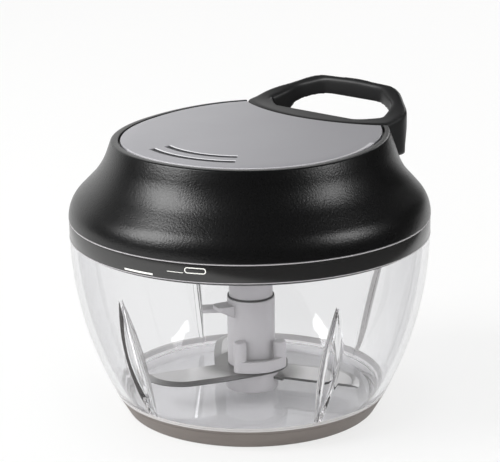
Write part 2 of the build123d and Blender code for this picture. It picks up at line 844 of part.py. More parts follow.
# Recoil spring: flat strip wound in half turns whose radius grows by half a pitch each time
spring_low = housing_bottom + (housing_top - housing_roof - housing_bottom - spring_height) / 2
with BuildPart() as recoil_spring:
    with BuildSketch(Plane.XY.offset(spring_low)):
        with BuildLine():
            reach = spring_inner_radius
            for half_turn in range(spring_half_turns):
                centre_x = (spring_pitch / 4) * (-1) ** half_turn
                start = 180 * (half_turn % 2)
                CenterArc((-centre_x, 0), reach, start, 180)
                reach += spring_pitch / 2
        trace(line_width=spring_strip)
    extrude(amount=spring_height)
save(recoil_spring, "recoil_spring")

# Cord eyelet, pressed into the lid's front wall from behind
front_wall_x = front_centre - front_radius
eyelet_back = front_wall_x - lid_wall
eyelet_front = front_wall_x - seat_gap
with BuildPart() as cord_eyelet:
    with BuildSketch(Plane.YZ.offset(eyelet_back)):
        with Locations((0, cord_height)):
            Circle(eyelet_radius - seat_gap)
    extrude(amount=eyelet_front - eyelet_back)
    with BuildSketch(Plane.YZ.offset(eyelet_back - eyelet_flange)):
        with Locations((0, cord_height)):
            Circle(eyelet_flange_radius)
    extrude(amount=eyelet_flange)
    with BuildSketch(Plane.YZ.offset(eyelet_back - eyelet_flange)):
        with Locations((0, cord_height)):
            Circle(eyelet_bore)
    extrude(amount=eyelet_front - eyelet_back + eyelet_flange, mode=Mode.SUBTRACT)
    back_circles = cord_eyelet.edges().filter_by(GeomType.CIRCLE).group_by(Axis.X)[0]
    fillet(back_circles.sort_by(SortBy.RADIUS)[0], eyelet_mouth)
save(cord_eyelet, "cord_eyelet")

# Cord reel: drum between two flanges, with a hub that reaches down to the pawl carrier
groove_low = reel_bottom + reel_flange
groove_high = reel_top - reel_flange
hub_low = carrier_top - carrier_thickness
axle_bore = axle_radius + running_fit
with BuildPart() as cord_reel:
    with BuildSketch(Plane.XZ):
        with BuildLine():
            Polyline((axle_bore, hub_low), (reel_hub_radius, hub_low), (reel_hub_radius, reel_bottom),
                     (reel_flange_radius, reel_bottom), (reel_flange_radius, groove_low),
                     (drum_radius, groove_low), (drum_radius, groove_high),
                     (reel_flange_radius, groove_high), (reel_flange_radius, reel_top),
                     (axle_bore, reel_top), (axle_bore, hub_low))
        make_face()
    revolve(axis=Axis.Z)
    with BuildSketch(Plane.XY.offset(reel_bottom)):
        with PolarLocations(reel_web_circle, reel_web_holes):
            Circle(reel_web_hole_radius)
    extrude(amount=reel_top - reel_bottom, mode=Mode.SUBTRACT)
save(cord_reel, "cord_reel")

# Cord wound on the drum: one rounded ridge for each turn of the outer layer
wound_outer = cord_turn_radius - cord_diameter / 2 - winding_gap
wound_count = math.floor((groove_high - groove_low - winding_gap) / cord_diameter)
wound_low = (groove_low + groove_high - wound_count * cord_diameter) / 2
wound_valley = wound_outer - cord_diameter / 2
with BuildPart() as cord_winding:
    with BuildSketch(Plane.XZ):
        with BuildLine():
            for turn in range(wound_count):
                low = wound_low + turn * cord_diameter
                ThreePointArc((wound_valley, low), (wound_outer, low + cord_diameter / 2),
                              (wound_valley, low + cord_diameter))
            wound_top = wound_low + wound_count * cord_diameter
            Polyline((wound_valley, wound_top), (drum_radius, wound_top), (drum_radius, wound_low),
                     (wound_valley, wound_low))
        make_face()
    revolve(axis=Axis.Z)
save(cord_winding, "cord_winding")

# Pull cord: last half turn on the reel, then straight, then round a bend through the eyelet
lead_angle = -math.degrees(math.acos(cord_turn_radius / cord_guide_x))
with BuildPart() as pull_cord:
    with BuildLine(Plane.XY.offset(cord_height)) as cord_route:
        wrap = CenterArc((0, 0), cord_turn_radius, lead_angle - cord_wrap_angle, cord_wrap_angle)
        FilletPolyline(wrap @ 1, (cord_guide_x, 0), (knot_seat, 0), radius=cord_bend)
    with BuildSketch(Plane(origin=cord_route.wire() @ 0, z_dir=cord_route.wire() % 0)):
        Circle(cord_diameter / 2)
    sweep(path=cord_route.wire())
cord_length = cord_route.wire().length
cord_ratio = pull_cord.part.volume / (cord_length * math.pi * cord_diameter ** 2 / 4)
print(f"pull cord: length {cord_length:.1f}, volume ratio {cord_ratio:.3f}")
print(f"handle travel: {cord_turns_out * math.tau * cord_turn_radius:.1f}")
save(pull_cord, "pull_cord")

# Cord bore and knot pocket in the handle's near bar
finger_wall_x = finger_near_centre - finger_near_radius
with pull_handle:
    with BuildSketch(Plane.YZ.offset(handle_back)):
        with Locations((0, cord_height)):
            Circle(cord_bore_radius)
    extrude(amount=finger_wall_x - handle_back, mode=Mode.SUBTRACT)
    with BuildSketch(Plane.YZ.offset(knot_seat)):
        with Locations((0, cord_height)):
            Circle(knot_radius + seat_gap)
    extrude(amount=finger_wall_x + overrun - knot_seat, mode=Mode.SUBTRACT)
save(pull_handle, "pull_handle")

# Knot that the handle pulls on, and the plug that hides it
with BuildPart() as cord_knot:
    with BuildSketch(Plane.YZ.offset(knot_seat)):
        with Locations((0, cord_height)):
            Circle(knot_radius)
    extrude(amount=knot_length)
    fillet(cord_knot.edges().filter_by(GeomType.CIRCLE), knot_length / 3)
save(cord_knot, "cord_knot")

with BuildPart() as handle_plug:
    with BuildSketch(Plane.YZ.offset(finger_wall_x - plug_thickness)):
        with Locations((0, cord_height)):
            Circle(knot_radius + seat_gap)
    extrude(amount=plug_thickness)
save(handle_plug, "handle_plug")

# Clip in the axle's groove, under the reel's hub
clip_low = hub_low - clip_gap - clip_thickness
with axle_screw:
    add(ring(clip_groove_radius, axle_radius, clip_low, clip_low + clip_thickness), mode=Mode.SUBTRACT)
save(axle_screw, "axle_screw")

with BuildPart() as axle_clip:
    with BuildSketch(Plane.XY.offset(clip_low)):
        Circle(clip_radius)
        Circle(clip_groove_radius, mode=Mode.SUBTRACT)
        with Locations((-clip_radius, 0)):
            Rectangle(clip_radius + clip_radius, clip_opening, mode=Mode.SUBTRACT)
    extrude(amount=clip_thickness)
save(axle_clip, "axle_clip")

# Pawl carrier, keyed on the reel's hub, with two headed pins for the pawls
with BuildPart() as pawl_carrier:
    with BuildSketch(Plane.XY.offset(hub_low)):
        Circle(carrier_radius)
        Circle(reel_hub_radius, mode=Mode.SUBTRACT)
        with PolarLocations(pawl_circle, pawl_count, start_angle=180 / pawl_count - pawl_lag):
            Circle(carrier_relief_radius, mode=Mode.SUBTRACT)
        with PolarLocations(pawl_circle, pawl_count, start_angle=-pawl_lag):
            Circle(pawl_pin_radius, mode=Mode.SUBTRACT)
    extrude(amount=carrier_thickness)
save(pawl_carrier, "pawl_carrier")

pawl_high = hub_low - pawl_gap
pawl_low = pawl_high - pawl_thickness
with BuildPart() as pawl_pins:
    with BuildSketch(Plane.XY.offset(pawl_low - pawl_gap)):
        with PolarLocations(pawl_circle, pawl_count, start_angle=-pawl_lag):
            Circle(pawl_pin_radius)
    extrude(amount=carrier_top - pawl_low + pawl_gap)
    with BuildSketch(Plane.XY.offset(pawl_low - pawl_gap)):
        with PolarLocations(pawl_circle, pawl_count, start_angle=-pawl_lag):
            Circle(pawl_head_radius)
    extrude(amount=-pawl_head)
save(pawl_pins, "pawl_pins")

# Pawls: the nose stands in a notch, just behind the face of a ratchet tooth
for number in range(pawl_count):
    turn = number * 360 / pawl_count
    eye = polar(pawl_circle, turn - pawl_lag)
    nose_low = polar(pawl_nose_radius, turn - pawl_nose_angle)
    nose_high = polar(pawl_front_radius, turn - pawl_nose_angle)
    back = polar(pawl_back_radius, turn - pawl_back_angle)
    belly = polar(pawl_belly_radius, turn - pawl_belly_angle)
    eye_out = polar(pawl_circle + pawl_eye_radius, turn - pawl_lag)
    eye_in = polar(pawl_circle - pawl_eye_radius, turn - pawl_lag)
    with BuildPart() as pawl:
        with BuildSketch(Plane.XY.offset(pawl_low)):
            with BuildLine():
                Polyline(nose_low, nose_high, back, eye_out, eye_in, belly, nose_low)
            make_face()
            with Locations(eye):
                Circle(pawl_eye_radius)
                Circle(pawl_pin_radius + running_fit, mode=Mode.SUBTRACT)
        extrude(amount=pawl_thickness)
    save(pawl, f"pawl_{number + 1}")

# Ratchet wheel on the spindle's neck: saw teeth outside, keyed by a flat inside
tooth_step = 360 / ratchet_teeth
with BuildPart() as ratchet_wheel:
    with BuildSketch(Plane.XY.offset(ratchet_bottom)):
        with BuildLine():
            corners = []
            for tooth in range(ratchet_teeth):
                corners.append(polar(ratchet_root_radius, tooth * tooth_step))
                corners.append(polar(ratchet_tip_radius, tooth * tooth_step))
            Polyline(*corners, close=True)
        make_face()
    extrude(amount=ratchet_thickness)
    with BuildSketch(Plane.XY.offset(ratchet_bottom)):
        Circle(spindle_neck_radius)
        with Locations((spindle_flat, 0)):
            Rectangle(spindle_neck_radius, spindle_neck_radius + spindle_neck_radius,
                      align=(Align.MIN, Align.CENTER), mode=Mode.SUBTRACT)
    extrude(amount=ratchet_thickness, mode=Mode.SUBTRACT)
save(ratchet_wheel, "ratchet_wheel")

# Drive spindle: sleeve below the lid, neck through the bush, two tabs that drive the column
neck_top = clip_low - body_gap
with BuildPart() as drive_spindle:
    with BuildSketch(Plane.XZ):
        with BuildLine():
            Polyline((0, spindle_key_bottom), (spindle_key_radius, spindle_key_bottom),
                     (spindle_key_radius, spindle_sleeve_bottom), (spindle_radius, spindle_sleeve_bottom),
                     (spindle_radius, spindle_top), (spindle_neck_radius, spindle_top),
                     (spindle_neck_radius, neck_top), (0, neck_top), (0, spindle_key_bottom))
        make_face()
    revolve(axis=Axis.Z)
    for turn in (0, 180):
        add(sector(spindle_key_radius / 2, spindle_tab_radius, turn - spindle_tab_half_angle,
                   turn + spindle_tab_half_angle, spindle_key_bottom, spindle_sleeve_bottom))
    with BuildSketch(Plane.XY.offset(ratchet_bottom)):
        with Locations((spindle_flat, 0)):
            Rectangle(spindle_neck_radius, spindle_neck_radius + spindle_neck_radius,
                      align=(Align.MIN, Align.CENTER))
    extrude(amount=ratchet_thickness, mode=Mode.SUBTRACT)
    with BuildSketch(Plane.XY.offset(axle_end - body_gap)):
        Circle(axle_bore)
    extrude(amount=neck_top - axle_end + body_gap, mode=Mode.SUBTRACT)
save(drive_spindle, "drive_spindle")

# Flanged bush in the cover's boss, and the thrust washer under the ratchet wheel
with BuildPart() as spindle_bush:
    add(ring(bush_inner_radius, bush_outer_radius, cover_boss_low, cover_boss_high))
    add(ring(bush_inner_radius, bush_flange_radius, cover_boss_high, cover_boss_high + bush_flange))
save(spindle_bush, "spindle_bush")

with BuildPart() as thrust_washer:
    add(ring(spindle_neck_radius, washer_radius, ratchet_bottom - washer_thickness, ratchet_bottom))
save(thrust_washer, "thrust_washer")

# Blade column: tube with a socket for the spindle, a core for the blades and a bore for the pin
pin_bore = pivot_radius + running_fit
mouth_radius = spindle_radius + body_gap
mouth_bottom = column_top - column_mouth_depth
with BuildPart() as blade_column:
    with BuildSketch(Plane.XZ):
        with BuildLine():
            Polyline((pin_bore, core_bottom), (core_radius, core_bottom), (core_radius, column_bottom),
                     (column_radius, column_bottom), (column_radius, column_top), (mouth_radius, column_top),
                     (mouth_radius, mouth_bottom), (socket_radius, mouth_bottom),
                     (socket_radius, socket_bottom), (0, socket_bottom), (0, pivot_top + body_gap),
                     (pin_bore, pivot_top + body_gap), (pin_bore, core_bottom))
        make_face()
    revolve(axis=Axis.Z)
    for angle in socket_rib_angles:
        add(sector(socket_rib_radius, (socket_radius + column_radius) / 2, angle - socket_rib_half_angle,
                   angle + socket_rib_half_angle, socket_bottom, mouth_bottom))
    with BuildSketch(Plane.XY.offset(paddle_low)):
        with Locations(polar((paddle_root + column_radius + overrun) / 2, paddle_angle)):
            Rectangle(column_radius + overrun - paddle_root, paddle_tongue, rotation=paddle_angle)
    extrude(amount=paddle_height, mode=Mode.SUBTRACT)
save(blade_column, "blade_column")

# Flange arm at the foot of the column, with a rim between its two posts
flange_top = column_bottom + flange_height
with BuildPart() as blade_flange:
    add(sector(column_radius, flange_radius, tall_post_angle, short_post_angle,
               column_bottom, column_bottom + flange_floor))
    add(sector(flange_radius - flange_wall, flange_radius, tall_post_angle, short_post_angle,
               column_bottom, flange_top))
    for angle, top in ((tall_post_angle, tall_post_top), (short_post_angle, short_post_top)):
        with BuildSketch(Plane.XY.offset(column_bottom)):
            with Locations(polar(post_circle, angle)):
                Circle(post_radius)
        extrude(amount=top - column_bottom)
        rims = blade_flange.edges().filter_by(GeomType.CIRCLE)
        fillet(rims.sort_by_distance((*polar(post_circle, angle), top))[0], post_fillet)
save(blade_flange, "blade_flange")


def grinding(arc):
    """Cone-shaped wedge that grinds a bevel along one arc of a blade's cutting edge."""
    axis_spot = arc.arc_center
    with BuildPart() as wedge:
        with BuildSketch(Plane(origin=(axis_spot.X, axis_spot.Y, 0), x_dir=(1, 0, 0), z_dir=(0, -1, 0))):
            with BuildLine():
                Polyline((arc.radius - blade_bevel, blade_thickness), (arc.radius, blade_edge),
                         (arc.radius + overrun, blade_edge), (arc.radius + overrun, blade_thickness),
                         (arc.radius - blade_bevel, blade_thickness))
            make_face()
        revolve(axis=Axis((axis_spot.X, axis_spot.Y, 0), (0, 0, 1)))
    return wedge.part


# Blade: straight back, rounded nose, bulging edge with a ground bevel and a round root
with BuildPart() as blade_blank:
    with BuildSketch():
        with BuildLine():
            back = Line((0, -blade_back_y), (blade_tip, 0))
            nose = ThreePointArc((blade_tip, 0), (blade_nose_x, blade_nose_y),
                                 (blade_bulge_x, blade_bulge_y))
            edge = ThreePointArc((blade_bulge_x, blade_bulge_y), (blade_edge_x, blade_bulge_y),
                                 (0, blade_root_radius))
            Line(edge @ 1, back @ 0)
        make_face()
        Circle(blade_root_radius)
        Circle(core_radius, mode=Mode.SUBTRACT)
    extrude(amount=blade_thickness)
nose_side = Pos(blade_bulge_x, 0, 0) * Box(
    blade_tip, blade_tip, blade_tip, align=(Align.MIN, Align.CENTER, Align.CENTER), mode=Mode.PRIVATE)
ground_blade = blade_blank.part - grinding(edge) - (grinding(nose) & nose_side)

for name, angle, level in zip(blade_names, blade_angles, blade_levels):
    with BuildPart() as blade:
        add(ground_blade.rotate(Axis.Z, angle).translate((0, 0, level)))
    save(blade, name)

# Spacers between the blade roots
with BuildPart() as blade_spacers:
    for upper, lower in zip(blade_levels[:-1], blade_levels[1:]):
        add(ring(core_radius, hub_radius, lower + blade_thickness, upper))
save(blade_spacers, "blade_spacers")

# Hub collar pressed on the core under the lowest blade
with BuildPart() as blade_hub:
    add(ring(core_radius, hub_radius, core_bottom, blade_levels[-1]))
    add(ring(pin_bore, hub_radius, hub_bottom, core_bottom))
    foot_circles = blade_hub.edges().filter_by(GeomType.CIRCLE).group_by(Axis.Z)[0]
    chamfer(foot_circles.sort_by(SortBy.RADIUS)[-1], hub_foot_chamfer)
save(blade_hub, "blade_hub")

# Small mixing paddle: rounded tongue that clips into a slot in the column, with a rib under it
with BuildPart() as mixing_paddle:
    with BuildSketch(Plane.XY.offset(paddle_low)):
        with Locations(((column_radius + paddle_reach) / 2, 0)):
            SlotOverall(paddle_reach - column_radius + paddle_width, paddle_width)
        with Locations((paddle_reach, 0)):
            Rectangle(paddle_width, paddle_width, align=(Align.MIN, Align.CENTER), mode=Mode.SUBTRACT)
        Circle(column_radius, mode=Mode.SUBTRACT)
        with Locations((paddle_root, 0)):
            Rectangle(column_radius - paddle_root + overrun, paddle_tongue, align=(Align.MIN, Align.CENTER))
    extrude(amount=paddle_height)
    with BuildSketch(Plane.XZ.offset(-paddle_rib / 2)):
        with BuildLine():
            Polyline((column_radius, paddle_low - paddle_rib_drop), (paddle_rib_reach, paddle_low),
                     (column_radius, paddle_low), close=True)
        make_face()
    extrude(amount=paddle_rib)

# Wedge-shaped flap beside the tongue, thickest where it meets the column
with BuildPart() as paddle_flap:
    with BuildSketch(Plane.XZ.offset(-flap_width / 2)):
        with BuildLine():
            Polyline((0, flap_low + flap_height), (flap_reach, flap_low + flap_height),
                     (flap_reach, flap_low), (column_radius, flap_low - flap_drop),
                     (0, flap_low - flap_drop), close=True)
        make_face()
    extrude(amount=flap_width)
    fillet(paddle_flap.edges().filter_by(Axis.Z).sort_by(Axis.X)[-2:], flap_corner)
    with BuildSketch(Plane.XY.offset(flap_low - flap_drop)):
        Circle(column_radius)
    extrude(amount=flap_drop + flap_height, mode=Mode.SUBTRACT)
mixing_paddle.part = (mixing_paddle.part.rotate(Axis.Z, paddle_angle)
                      + paddle_flap.part.rotate(Axis.Z, flap_angle))
save(mixing_paddle, "mixing_paddle")
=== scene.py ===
import json
import math

import bpy
from mathutils import Matrix, Vector


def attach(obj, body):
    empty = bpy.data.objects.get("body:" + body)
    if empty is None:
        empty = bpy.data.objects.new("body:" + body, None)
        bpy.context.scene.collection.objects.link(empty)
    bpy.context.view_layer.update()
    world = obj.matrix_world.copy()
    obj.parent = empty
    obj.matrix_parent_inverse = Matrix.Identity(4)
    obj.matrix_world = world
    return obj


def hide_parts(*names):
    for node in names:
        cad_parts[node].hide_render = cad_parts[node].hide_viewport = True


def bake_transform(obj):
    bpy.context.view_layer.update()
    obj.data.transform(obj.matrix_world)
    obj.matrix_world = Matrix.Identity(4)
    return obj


# Pull cord food chopper. The CAD frame is in metres, +Z up, and the handle pulls off along +X.
# Lengths in the dictionaries are millimetres.
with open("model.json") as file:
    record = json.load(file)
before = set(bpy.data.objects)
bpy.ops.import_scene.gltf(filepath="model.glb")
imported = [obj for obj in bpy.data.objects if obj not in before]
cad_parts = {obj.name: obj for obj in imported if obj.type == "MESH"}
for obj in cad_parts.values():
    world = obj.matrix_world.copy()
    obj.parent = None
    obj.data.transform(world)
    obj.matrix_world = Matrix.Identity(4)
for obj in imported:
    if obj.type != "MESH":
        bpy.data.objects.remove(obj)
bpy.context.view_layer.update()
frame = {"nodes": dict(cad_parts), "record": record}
nodes = frame["nodes"]
mm = 0.001
print("frame loaded:", len(nodes), "nodes")


# small helpers for objects and edit mode
def deselectAll():
    if bpy.context.mode != "OBJECT":
        bpy.ops.object.mode_set(mode="OBJECT")
    bpy.ops.object.select_all(action="DESELECT")


def makeActive(piece):
    deselectAll()
    piece.select_set(True)
    bpy.context.view_layer.objects.active = piece


def editWith(piece, wanted):  # into edit mode with the vertices that pass a test selected
    deselectAll()
    mesh = piece.data
    for part in (mesh.polygons, mesh.edges):
        part.foreach_set("select", [False] * len(part))
    mesh.vertices.foreach_set("select", [wanted(vertex.co / mm) for vertex in mesh.vertices])
    makeActive(piece)
    bpy.context.tool_settings.mesh_select_mode = (True, False, False)
    bpy.ops.object.mode_set(mode="EDIT")


def fixPlace(piece, name):  # the place goes into the mesh, and the object to the origin
    makeActive(piece)
    bpy.ops.object.transform_apply(location=True, rotation=True, scale=True)
    piece.name = name
    piece.data.name = name
    return piece


def applyModifier(piece, kind, settings):
    makeActive(piece)
    modifier = piece.modifiers.new(kind, kind)
    for key, value in settings.items():
        setattr(modifier, key, value)
    bpy.ops.object.modifier_apply(modifier=modifier.name)


def editAll():  # into edit mode with everything selected
    bpy.ops.object.mode_set(mode="EDIT")
    bpy.ops.mesh.select_all(action="SELECT")


def fixNormals():  # every face looks outwards, and edit mode ends
    bpy.ops.mesh.select_all(action="SELECT")
    bpy.ops.mesh.normals_make_consistent(inside=False)
    bpy.ops.object.mode_set(mode="OBJECT")


def smoothed(piece, degrees=35.0):
    makeActive(piece)
    bpy.ops.object.shade_smooth_by_angle(angle=math.radians(degrees))
    return piece


# camera, from a fit to the photograph
photoCamera = {
    "place": (-0.5726, -0.5156, 0.29534),
    "azimuth": -48.0,
    "lookDown": 16.26,
    "roll": 0.76,
    "lens": 148.42,
    "sensor": 36.0,
}


def addCamera(look):
    data = bpy.data.cameras.new("photoCamera")
    data.lens = look["lens"]
    data.sensor_width = look["sensor"]
    data.clip_start = 0.01
    data.clip_end = 20.0
    camera = bpy.data.objects.new("photoCamera", data)
    bpy.context.scene.collection.objects.link(camera)
    turn = Matrix.Rotation(math.radians(look["azimuth"]), 4, "Z")
    tilt = Matrix.Rotation(math.radians(90 - look["lookDown"]), 4, "X")
    roll = Matrix.Rotation(-math.radians(look["roll"]), 4, "Z")
    camera.matrix_world = Matrix.Translation(look["place"]) @ turn @ tilt @ roll
    bpy.context.scene.camera = camera


addCamera(photoCamera)


# shader graphs written as expressions
class Wire:  # a node's output that Python's operators work on
    def __init__(self, graph, socket):
        self.graph = graph
        self.socket = socket

    def maths(self, operation, first, second=0.0):
        return self.graph.add("ShaderNodeMath", {"operation": operation}, {0: first, 1: second})

    def __add__(self, other):
        return self.maths("ADD", self, other)

    def __radd__(self, other):
        return self.maths("ADD", other, self)

    def __sub__(self, other):
        return self.maths("SUBTRACT", self, other)

    def __rsub__(self, other):
        return self.maths("SUBTRACT", other, self)

    def __mul__(self, other):
        return self.maths("MULTIPLY", self, other)

    def __rmul__(self, other):
        return self.maths("MULTIPLY", other, self)

    def __gt__(self, other):
        return self.maths("GREATER_THAN", self, other)

    def __lt__(self, other):
        return self.maths("LESS_THAN", self, other)

    def __abs__(self):
        return self.maths("ABSOLUTE", self)


class Graph:  # the nodes of one material or of the world
    def __init__(self, tree):
        self.tree = tree
        self.tree.nodes.clear()

    # any node: its settings are set first, then the values or links of its sockets
    def add(self, kind, settings=None, sockets=None, output=0):
        node = self.tree.nodes.new(kind)
        for key, value in (settings or {}).items():
            if key == "stops":
                ramp = node.color_ramp.elements
                while len(ramp) < len(value):
                    ramp.new(0.5)
                for element, (place, colour) in zip(ramp, value):
                    element.position = place
                    element.color = colour
            else:
                setattr(node, key, value)
        for key, value in (sockets or {}).items():
            if isinstance(value, Wire):
                self.tree.links.new(value.socket, node.inputs[key])
            else:
                node.inputs[key].default_value = value
        return Wire(self, node.outputs[output]) if len(node.outputs) else None

    def place(self, stretch=(1, 1, 1)):
        coordinates = self.add("ShaderNodeTexCoord", output=3)
        return self.add("ShaderNodeMapping", None, {"Vector": coordinates, "Scale": stretch})

    def axes(self, vector):  # x, y and z of a vector
        first = self.add("ShaderNodeSeparateXYZ", None, {0: vector})
        return [Wire(self, first.socket.node.outputs[axis]) for axis in range(3)]

    def axisRadius(self, x, y):  # distance from the upright axis, in millimetres
        return x.maths("SQRT", x * x + y * y) * (1 / mm)

    def rays(self, *kinds):  # outputs of one light path node
        path = self.add("ShaderNodeLightPath").socket.node
        return [Wire(self, path.outputs[kind]) for kind in kinds]

    def noise(self, scale, detail=2.0, stretch=(1, 1, 1)):
        return self.add("ShaderNodeTexNoise", None,
                        {"Vector": self.place(stretch), "Scale": scale, "Detail": detail})

    def ramp(self, value, stops):
        return self.add("ShaderNodeValToRGB", {"stops": stops}, {"Fac": value})

    def slope(self, value, low, high):  # 0 below low, 1 above high, smooth between
        return self.add("ShaderNodeMapRange", {"interpolation_type": "SMOOTHSTEP"},
                        {"Value": value, "From Min": low, "From Max": high})

    def mixed(self, share, first, second):
        return self.add("ShaderNodeMix", {"data_type": "RGBA"}, {0: share, 6: first, 7: second}, output=2)

    def bumped(self, height, strength, distance):
        return self.add("ShaderNodeBump", None,
                        {"Strength": strength, "Distance": distance, "Height": height})

    def principled(self, sockets):
        return self.add("ShaderNodeBsdfPrincipled", None, sockets)


def newFinish(name):
    material = bpy.data.materials.new(name)
    material.use_nodes = True
    return material, Graph(material.node_tree)


def closeFinish(material, graph, shader):
    graph.add("ShaderNodeOutputMaterial", None, {"Surface": shader})
    return material


def rgb(red, green, blue):
    return (red, green, blue, 1.0)


# moulded plastics
def mouldedPlastic(name, look, tint=None):
    material, graph = newFinish(name)
    grain = graph.noise(look["grainScale"], 3.0)
    cloud = graph.noise(look["cloudScale"], 2.0)
    colour = graph.mixed(cloud, look["dark"], look["light"])
    if tint:
        colour = tint(graph, colour, look)
    rough = look["rough"] + look["roughSpread"] * (grain - 0.5)
    normal = graph.bumped(grain, look["grainStrength"], look["grainDepth"])
    return closeFinish(material, graph, graph.principled({
        "Base Color": colour, "Roughness": rough, "Normal": normal, "IOR": look.get("ior", 1.49)}))


lidLook = {
    "dark": rgb(0.0024, 0.0024, 0.0026), "light": rgb(0.0034, 0.0034, 0.0036),
    "rough": 0.30, "roughSpread": 0.14, "cloudScale": 30.0,
    "grainScale": 1300.0, "grainStrength": 0.45, "grainDepth": 0.00018,
}
handleLook = {
    "dark": rgb(0.0085, 0.0085, 0.0088), "light": rgb(0.0115, 0.0115, 0.0118),
    "rough": 0.42, "roughSpread": 0.08, "cloudScale": 40.0,
    "grainScale": 2200.0, "grainStrength": 0.12, "grainDepth": 0.00008,
}
bandLook = {
    "dark": rgb(0.0100, 0.0098, 0.0096), "light": rgb(0.0140, 0.0136, 0.0132),
    "rough": 0.20, "roughSpread": 0.05, "cloudScale": 25.0, "ior": 1.70,
    "grainScale": 1800.0, "grainStrength": 0.05, "grainDepth": 0.00004,
}
coverLook = {
    "dark": rgb(0.0100, 0.0095, 0.0090), "light": rgb(0.0140, 0.0132, 0.0125),
    "rough": 0.38, "roughSpread": 0.06, "cloudScale": 25.0,
    "grainScale": 1800.0, "grainStrength": 0.08, "grainDepth": 0.00006,
}
footLook = {
    "dark": rgb(0.41, 0.397, 0.39), "light": rgb(0.48, 0.467, 0.46),
    "rough": 0.25, "roughSpread": 0.06, "cloudScale": 45.0,
    "grainScale": 1800.0, "grainStrength": 0.05, "grainDepth": 0.00004,
}
plateLook = {
    "dark": rgb(0.262, 0.260, 0.275), "light": rgb(0.312, 0.309, 0.325),
    "rough": 0.42, "roughSpread": 0.08, "cloudScale": 42.0,
    "grainScale": 2600.0, "grainStrength": 0.07, "grainDepth": 0.00006,
    "grooveRadii": (35.0, 41.3), "litEdge": -1.9, "darkEdge": -1.05, "farEdge": 1.1,
    "grooveFirst": -20.0, "grooveLast": 35.0, "side": (0.669, -0.743), "sideReach": 0.05,
    "facing": (0.743, 0.669), "edgeLine": 48.9, "frontFrom": -0.018, "edgeColour": rgb(0.40, 0.395, 0.41),
    "grooveColour": rgb(0.045, 0.045, 0.048), "borderColour": rgb(0.66, 0.66, 0.68),
    "farSide": rgb(0.205, 0.202, 0.214),
}
baseLook = {
    "dark": rgb(0.118, 0.102, 0.092), "light": rgb(0.146, 0.127, 0.114),
    "rough": 0.50, "roughSpread": 0.10, "cloudScale": 60.0,
    "grainScale": 1600.0, "grainStrength": 0.12, "grainDepth": 0.0001,
    "wallMiddle": 47.8, "wallLean": 0.594, "recessHeight": 2.0,
    "recessColour": rgb(0.90, 0.885, 0.87),
}
columnLook = {
    "dark": rgb(0.325, 0.313, 0.320), "light": rgb(0.375, 0.362, 0.370),
    "rough": 0.38, "roughSpread": 0.08, "cloudScale": 70.0,
    "grainScale": 2400.0, "grainStrength": 0.06, "grainDepth": 0.00006,
}
gearLook = {
    "dark": rgb(0.640, 0.635, 0.600), "light": rgb(0.720, 0.715, 0.680),
    "rough": 0.45, "roughSpread": 0.10, "cloudScale": 90.0,
    "grainScale": 2000.0, "grainStrength": 0.10, "grainDepth": 0.00008,
}
sealLook = {
    "dark": rgb(0.010, 0.010, 0.010), "light": rgb(0.016, 0.016, 0.016),
    "rough": 0.55, "roughSpread": 0.10, "cloudScale": 50.0,
    "grainScale": 1400.0, "grainStrength": 0.10, "grainDepth": 0.00008,
}


# painted light and shade on the plate: it is painted a little darker to one side as painted shade, its two
# grooves have a painted highlight on one edge and painted shade on the other, and its front edge has a
# painted highlight line
def platePaintedLightAndShade(graph, colour, look):
    x, y, _ = graph.axes(graph.add("ShaderNodeTexCoord", output=3))
    radius = graph.axisRadius(x, y)
    angle = x.maths("ARCTAN2", -1.0 * y, -1.0 * x)
    inside = (angle > math.radians(look["grooveFirst"])) * (angle < math.radians(look["grooveLast"]))
    # painted shade: the plate is mixed towards a darker grey on one side
    across = graph.slope(x * look["side"][0] + y * look["side"][1], -look["sideReach"], look["sideReach"])
    colour = graph.mixed(across, colour, look["farSide"])
    # each groove: a painted highlight on a band just inside it, and painted shade over the groove itself
    for groove in look["grooveRadii"]:
        off = radius - groove
        lit = (off > look["litEdge"]) * (off < look["darkEdge"]) * inside
        shaded = (off > look["darkEdge"]) * (off < look["farEdge"]) * inside
        colour = graph.mixed(lit, colour, look["borderColour"])
        colour = graph.mixed(shaded, colour, look["grooveColour"])
    # painted highlight: a pale line along the plate's rim on its front side
    front = (x * look["facing"][0] + y * look["facing"][1]) < look["frontFrom"]
    return graph.mixed((radius > look["edgeLine"]) * front, colour, look["edgeColour"])


# the pad's recess, which is seen through the clear floor, is painted pale, partly as painted light, while the
# pad outside stays taupe
def baseTint(graph, colour, look):
    x, y, z = graph.axes(graph.add("ShaderNodeTexCoord", output=3))
    radius = graph.axisRadius(x, y)
    inward = (radius - z * (1 / mm * look["wallLean"])) < look["wallMiddle"]
    recess = inward * (z > look["recessHeight"] * mm)
    return graph.mixed(recess, colour, look["recessColour"])


# metals: fine lines along one direction
def brushedMetal(name, look, tint=None):
    material, graph = newFinish(name)
    lines = graph.noise(look["lineScale"], 2.0, look["stretch"])
    cloud = graph.noise(look["cloudScale"], 2.0)
    colour = graph.mixed(cloud, look["dark"], look["light"])
    if tint:
        colour = tint(graph, colour, look)
    rough = look["rough"] + look["roughSpread"] * (lines - 0.5)
    normal = graph.bumped(lines, look["lineStrength"], look["lineDepth"])
    return closeFinish(material, graph, graph.principled({
        "Base Color": colour, "Roughness": rough, "Normal": normal, "Metallic": 1.0}))


